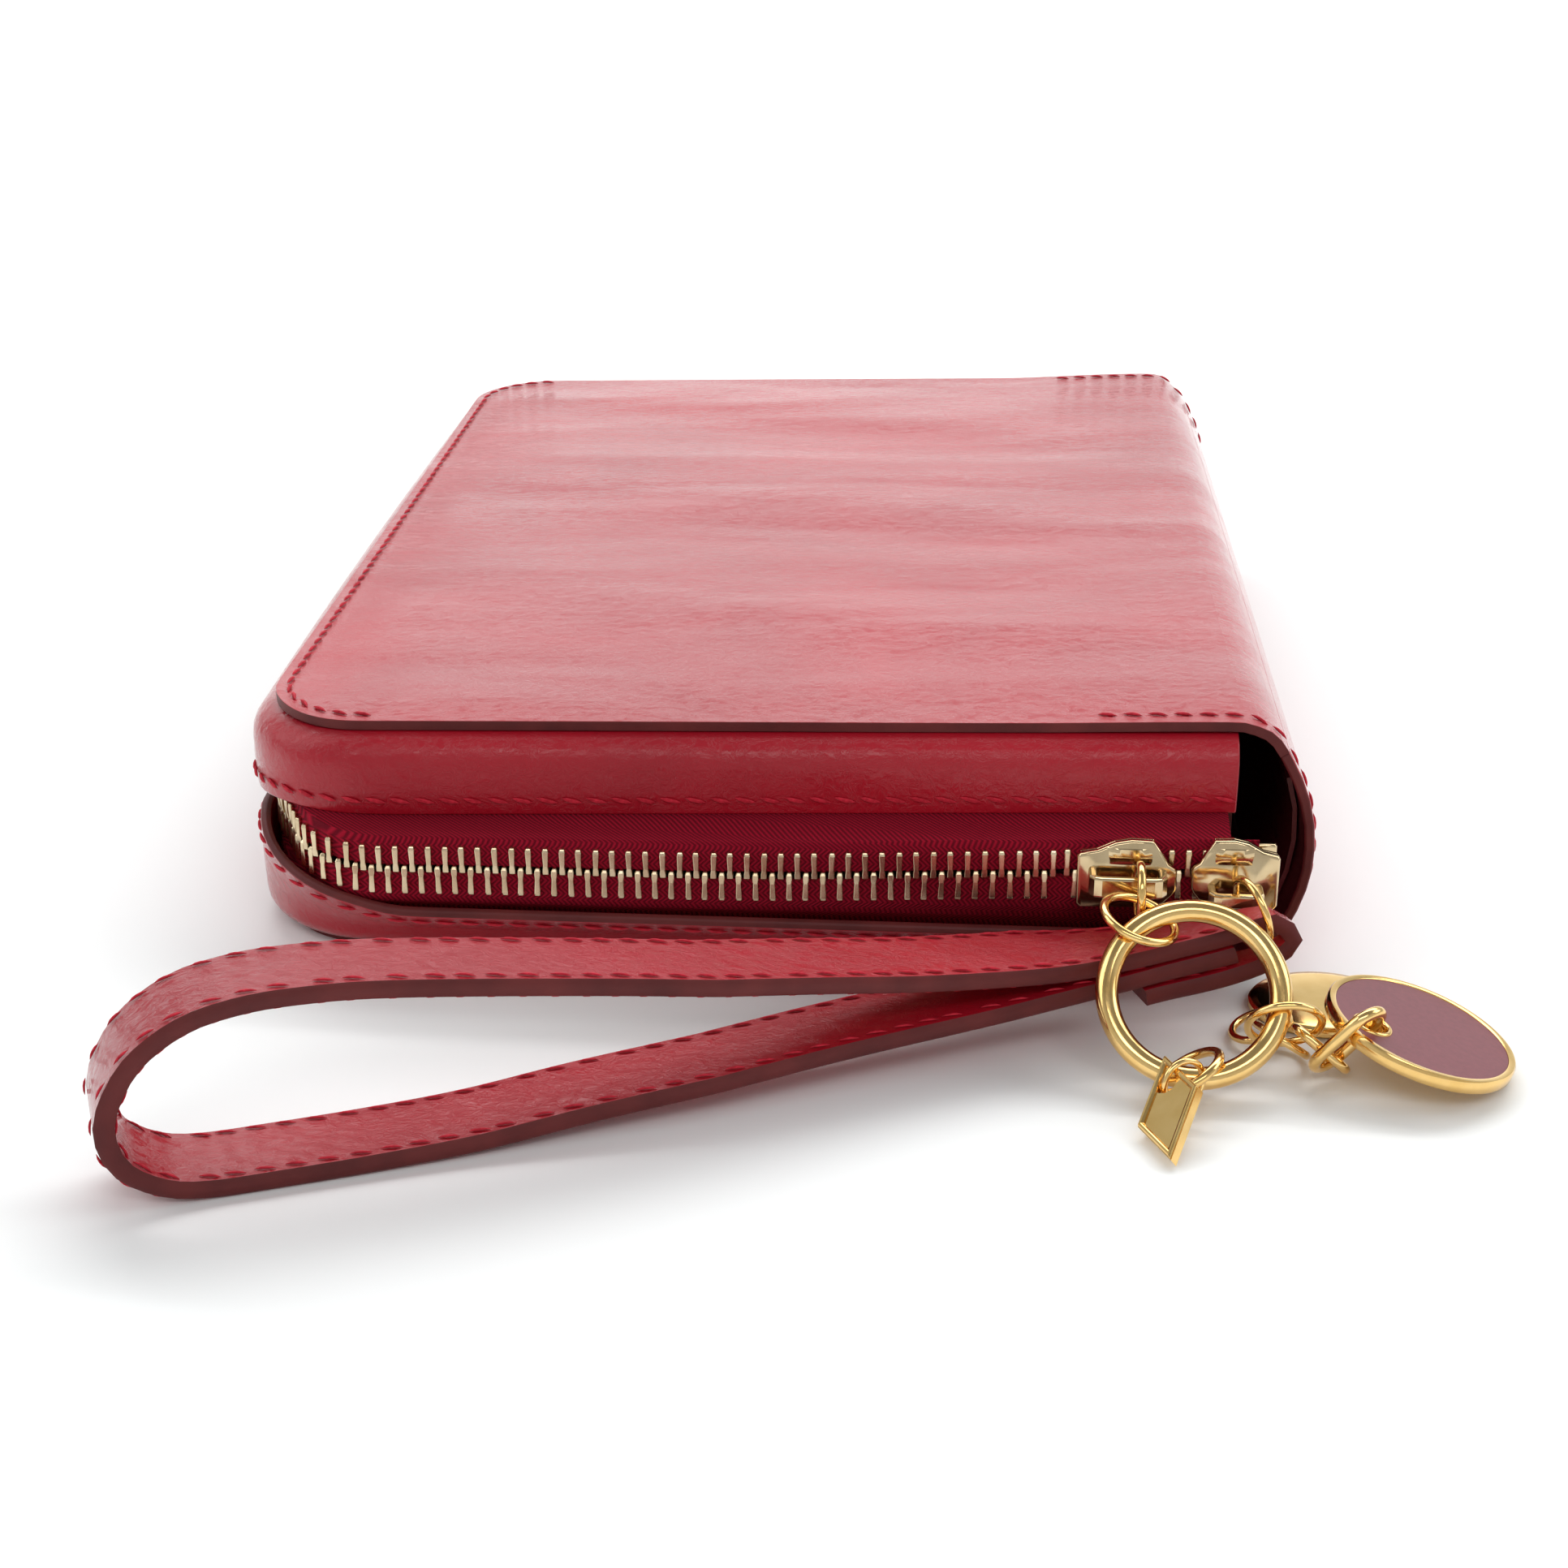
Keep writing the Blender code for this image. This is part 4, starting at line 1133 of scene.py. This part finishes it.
def tag_frames():
    """A raised frame round both faces of the slanted tag."""
    a, b, c = Vector((45.34, -132.03, 0.9)), Vector((48.64, -139.23, 0.9)), Vector((48.74, -123.83, 5.9))
    e1, e2 = (b - a).normalized(), (c - a).normalized()
    normal = e1.cross(e2).normalized()
    reach = [v.co.dot(normal) / MM for v in nodes["tag"].data.vertices]
    corners = [a, b, b + c - a, c]
    inward = [e1 + e2, e2 - e1, -e1 - e2, e1 - e2]
    for word, level, side in (("front", max(reach), 1), ("back", min(reach) + 0.3, -1)):
        flat = [p + normal * (level - p.dot(normal)) for p in corners]
        loops = [(0.12, -0.1), (0.08, 0.25), (0.3, 0.4), (0.75, 0.4), (0.95, 0.2), (1.0, -0.1)]
        points = []
        for inset, lift in loops:
            points += [tuple(p + d * inset + normal * side * lift) for p, d in zip(flat, inward)]
        faces = []
        for r in range(len(loops)):
            n = (r + 1) % len(loops)
            faces += [(r * 4 + k, r * 4 + (k + 1) % 4, n * 4 + (k + 1) % 4, n * 4 + k) for k in range(4)]
        item = add("tag_frame_" + word, points, faces, [GOLD], "tag", smooth=False)
        soften(item, 0.00012)


# ---------------------------------------------------------------- inside

def inside():
    """Materials and softer edges for the pieces that stay as the CAD has them."""
    for name, item in nodes.items():
        if any(word in name for word in ("lining", "slip", "slot", "coin_pocket")):
            paint(item, LINING)
        elif "board" in name:
            paint(item, BOARD)
        elif name.startswith("coin_zip_lower") or name.startswith("coin_zip_upper"):
            paint(item, TAPE)
    finish_metal("coin_zip_slider", 0.0002, SLIDER)
    finish_metal("coin_zip_pull", 0.0003)
    finish_metal("tag", 0.00018)
    tag_frames()


def paint(item, material):
    """Give a CAD piece its material and small rounded edges."""
    item.data.materials.clear()
    item.data.materials.append(material)
    soften(item, 0.00015)


# ---------------------------------------------------------------- studio

def camera():
    """A view from in front of the wallet, a little above it and to the right of its middle."""
    cam = bpy.data.cameras.new("camera")
    cam.sensor_width = 36.0
    cam.lens = 58.959
    cam.clip_start = 0.01
    item = bpy.data.objects.new("camera", cam)
    pitch, yaw, roll = math.radians(22.94), math.radians(-3.77), math.radians(0.14)
    forward = Vector((math.sin(yaw) * math.cos(pitch), math.cos(yaw) * math.cos(pitch), -math.sin(pitch)))
    right = Vector((math.cos(yaw), -math.sin(yaw), 0.0))
    up = right.cross(forward)
    r2 = right * math.cos(roll) + up * math.sin(roll)
    u2 = -right * math.sin(roll) + up * math.cos(roll)
    turn = Matrix((r2, u2, -forward)).transposed().to_4x4()
    item.matrix_world = Matrix.Translation((0.021, -0.393, 0.1539)) @ turn
    bpy.context.scene.collection.objects.link(item)
    bpy.context.scene.camera = item


def floor():
    """A pale paper sweep."""
    m = Nodes("floor_paper")
    m.set(Roughness=0.75)
    tone = m.noise(3, 2.0)
    m.colour(tone, (0.2, (0.86, 0.875, 0.87)), (0.8, (0.90, 0.91, 0.905)))
    points, faces = [], []
    profile = [(-3000, 0.0), (700, 0.0)]
    for k in range(1, 13):
        a = math.radians(90 * k / 12)
        profile.append((700 + 900 * math.sin(a), 900 * (1 - math.cos(a))))
    profile.append((1600, 3000))
    for y, z in profile:
        points += [(-4000, y, z), (4000, y, z)]
    for k in range(len(profile) - 1):
        faces.append((k * 2, k * 2 + 1, k * 2 + 3, k * 2 + 2))
    item = add("floor", points, faces, [m.mat], None)


def area(name, place, aim, size, power, colour=(1, 1, 1)):
    """A rectangular soft light that points at aim."""
    light = bpy.data.lights.new(name, "AREA")
    light.shape = "RECTANGLE"
    light.size, light.size_y = size
    light.energy = power
    light.color = colour
    item = bpy.data.objects.new(name, light)
    item.location = place
    item.rotation_euler = (Vector(aim) - Vector(place)).to_track_quat("-Z", "Y").to_euler()
    bpy.context.scene.collection.objects.link(item)


def lights():
    """Soft studio lights and a surround that is bright low down and darker above."""
    area("back_top", (0.1, 0.9, 1.3), (0, 0, 0), (2.2, 0.8), 15)
    area("back_strip", (0.1, 0.9, 1.3), (0, 0, 0), (1.8, 0.08), 7)
    area("left_soft", (-1.1, -0.1, 0.9), (0, 0, 0), (0.8, 1.0), 4.5)
    area("right_soft", (1.2, 0.1, 0.8), (0, 0, 0), (0.8, 0.8), 4.5)
    area("front_high", (0.1, -1.2, 1.2), (0, 0, 0), (1.4, 0.4), 5)
    world = bpy.data.worlds.new("studio")
    world.use_nodes = True
    tree = world.node_tree
    sky = tree.nodes.new("ShaderNodeTexCoord").outputs["Generated"]
    split = tree.nodes.new("ShaderNodeSeparateXYZ")
    tree.links.new(sky, split.inputs[0])
    ramp = tree.nodes.new("ShaderNodeValToRGB")
    tree.links.new(split.outputs["Z"], ramp.inputs[0])
    ramp.color_ramp.elements[0].position = 0.3
    ramp.color_ramp.elements[0].color = (0.93, 0.96, 0.97, 1)
    ramp.color_ramp.elements[1].position = 0.8
    ramp.color_ramp.elements[1].color = (0.42, 0.43, 0.44, 1)
    tree.links.new(ramp.outputs[0], tree.nodes["Background"].inputs[0])
    tree.nodes["Background"].inputs[1].default_value = 0.62
    bpy.context.scene.world = world
    bpy.context.scene.view_settings.view_transform = "Standard"


camera()
bands()
band_stitches()
tapes()
zip_chain()
covers()
panel_piping()
strap()
rings()
link("chain_link_1", (67.82, -115.92, 3.62), (0.627, 0.307, 0.716), (0.778, -0.299, -0.553), 1.9, 3.8, 0.6)
link("chain_link_2", (70.39, -118.7, 6.46), (-0.531, 0.685, 0.499), (0.591, -0.123, 0.797), 2.5, 5.4, 0.75)
slider_body(1, 44.6, 1, 6.2)
slider_body(2, 58.0, -1, 5.4)
coin()
oval()
inside()
floor()
lights()
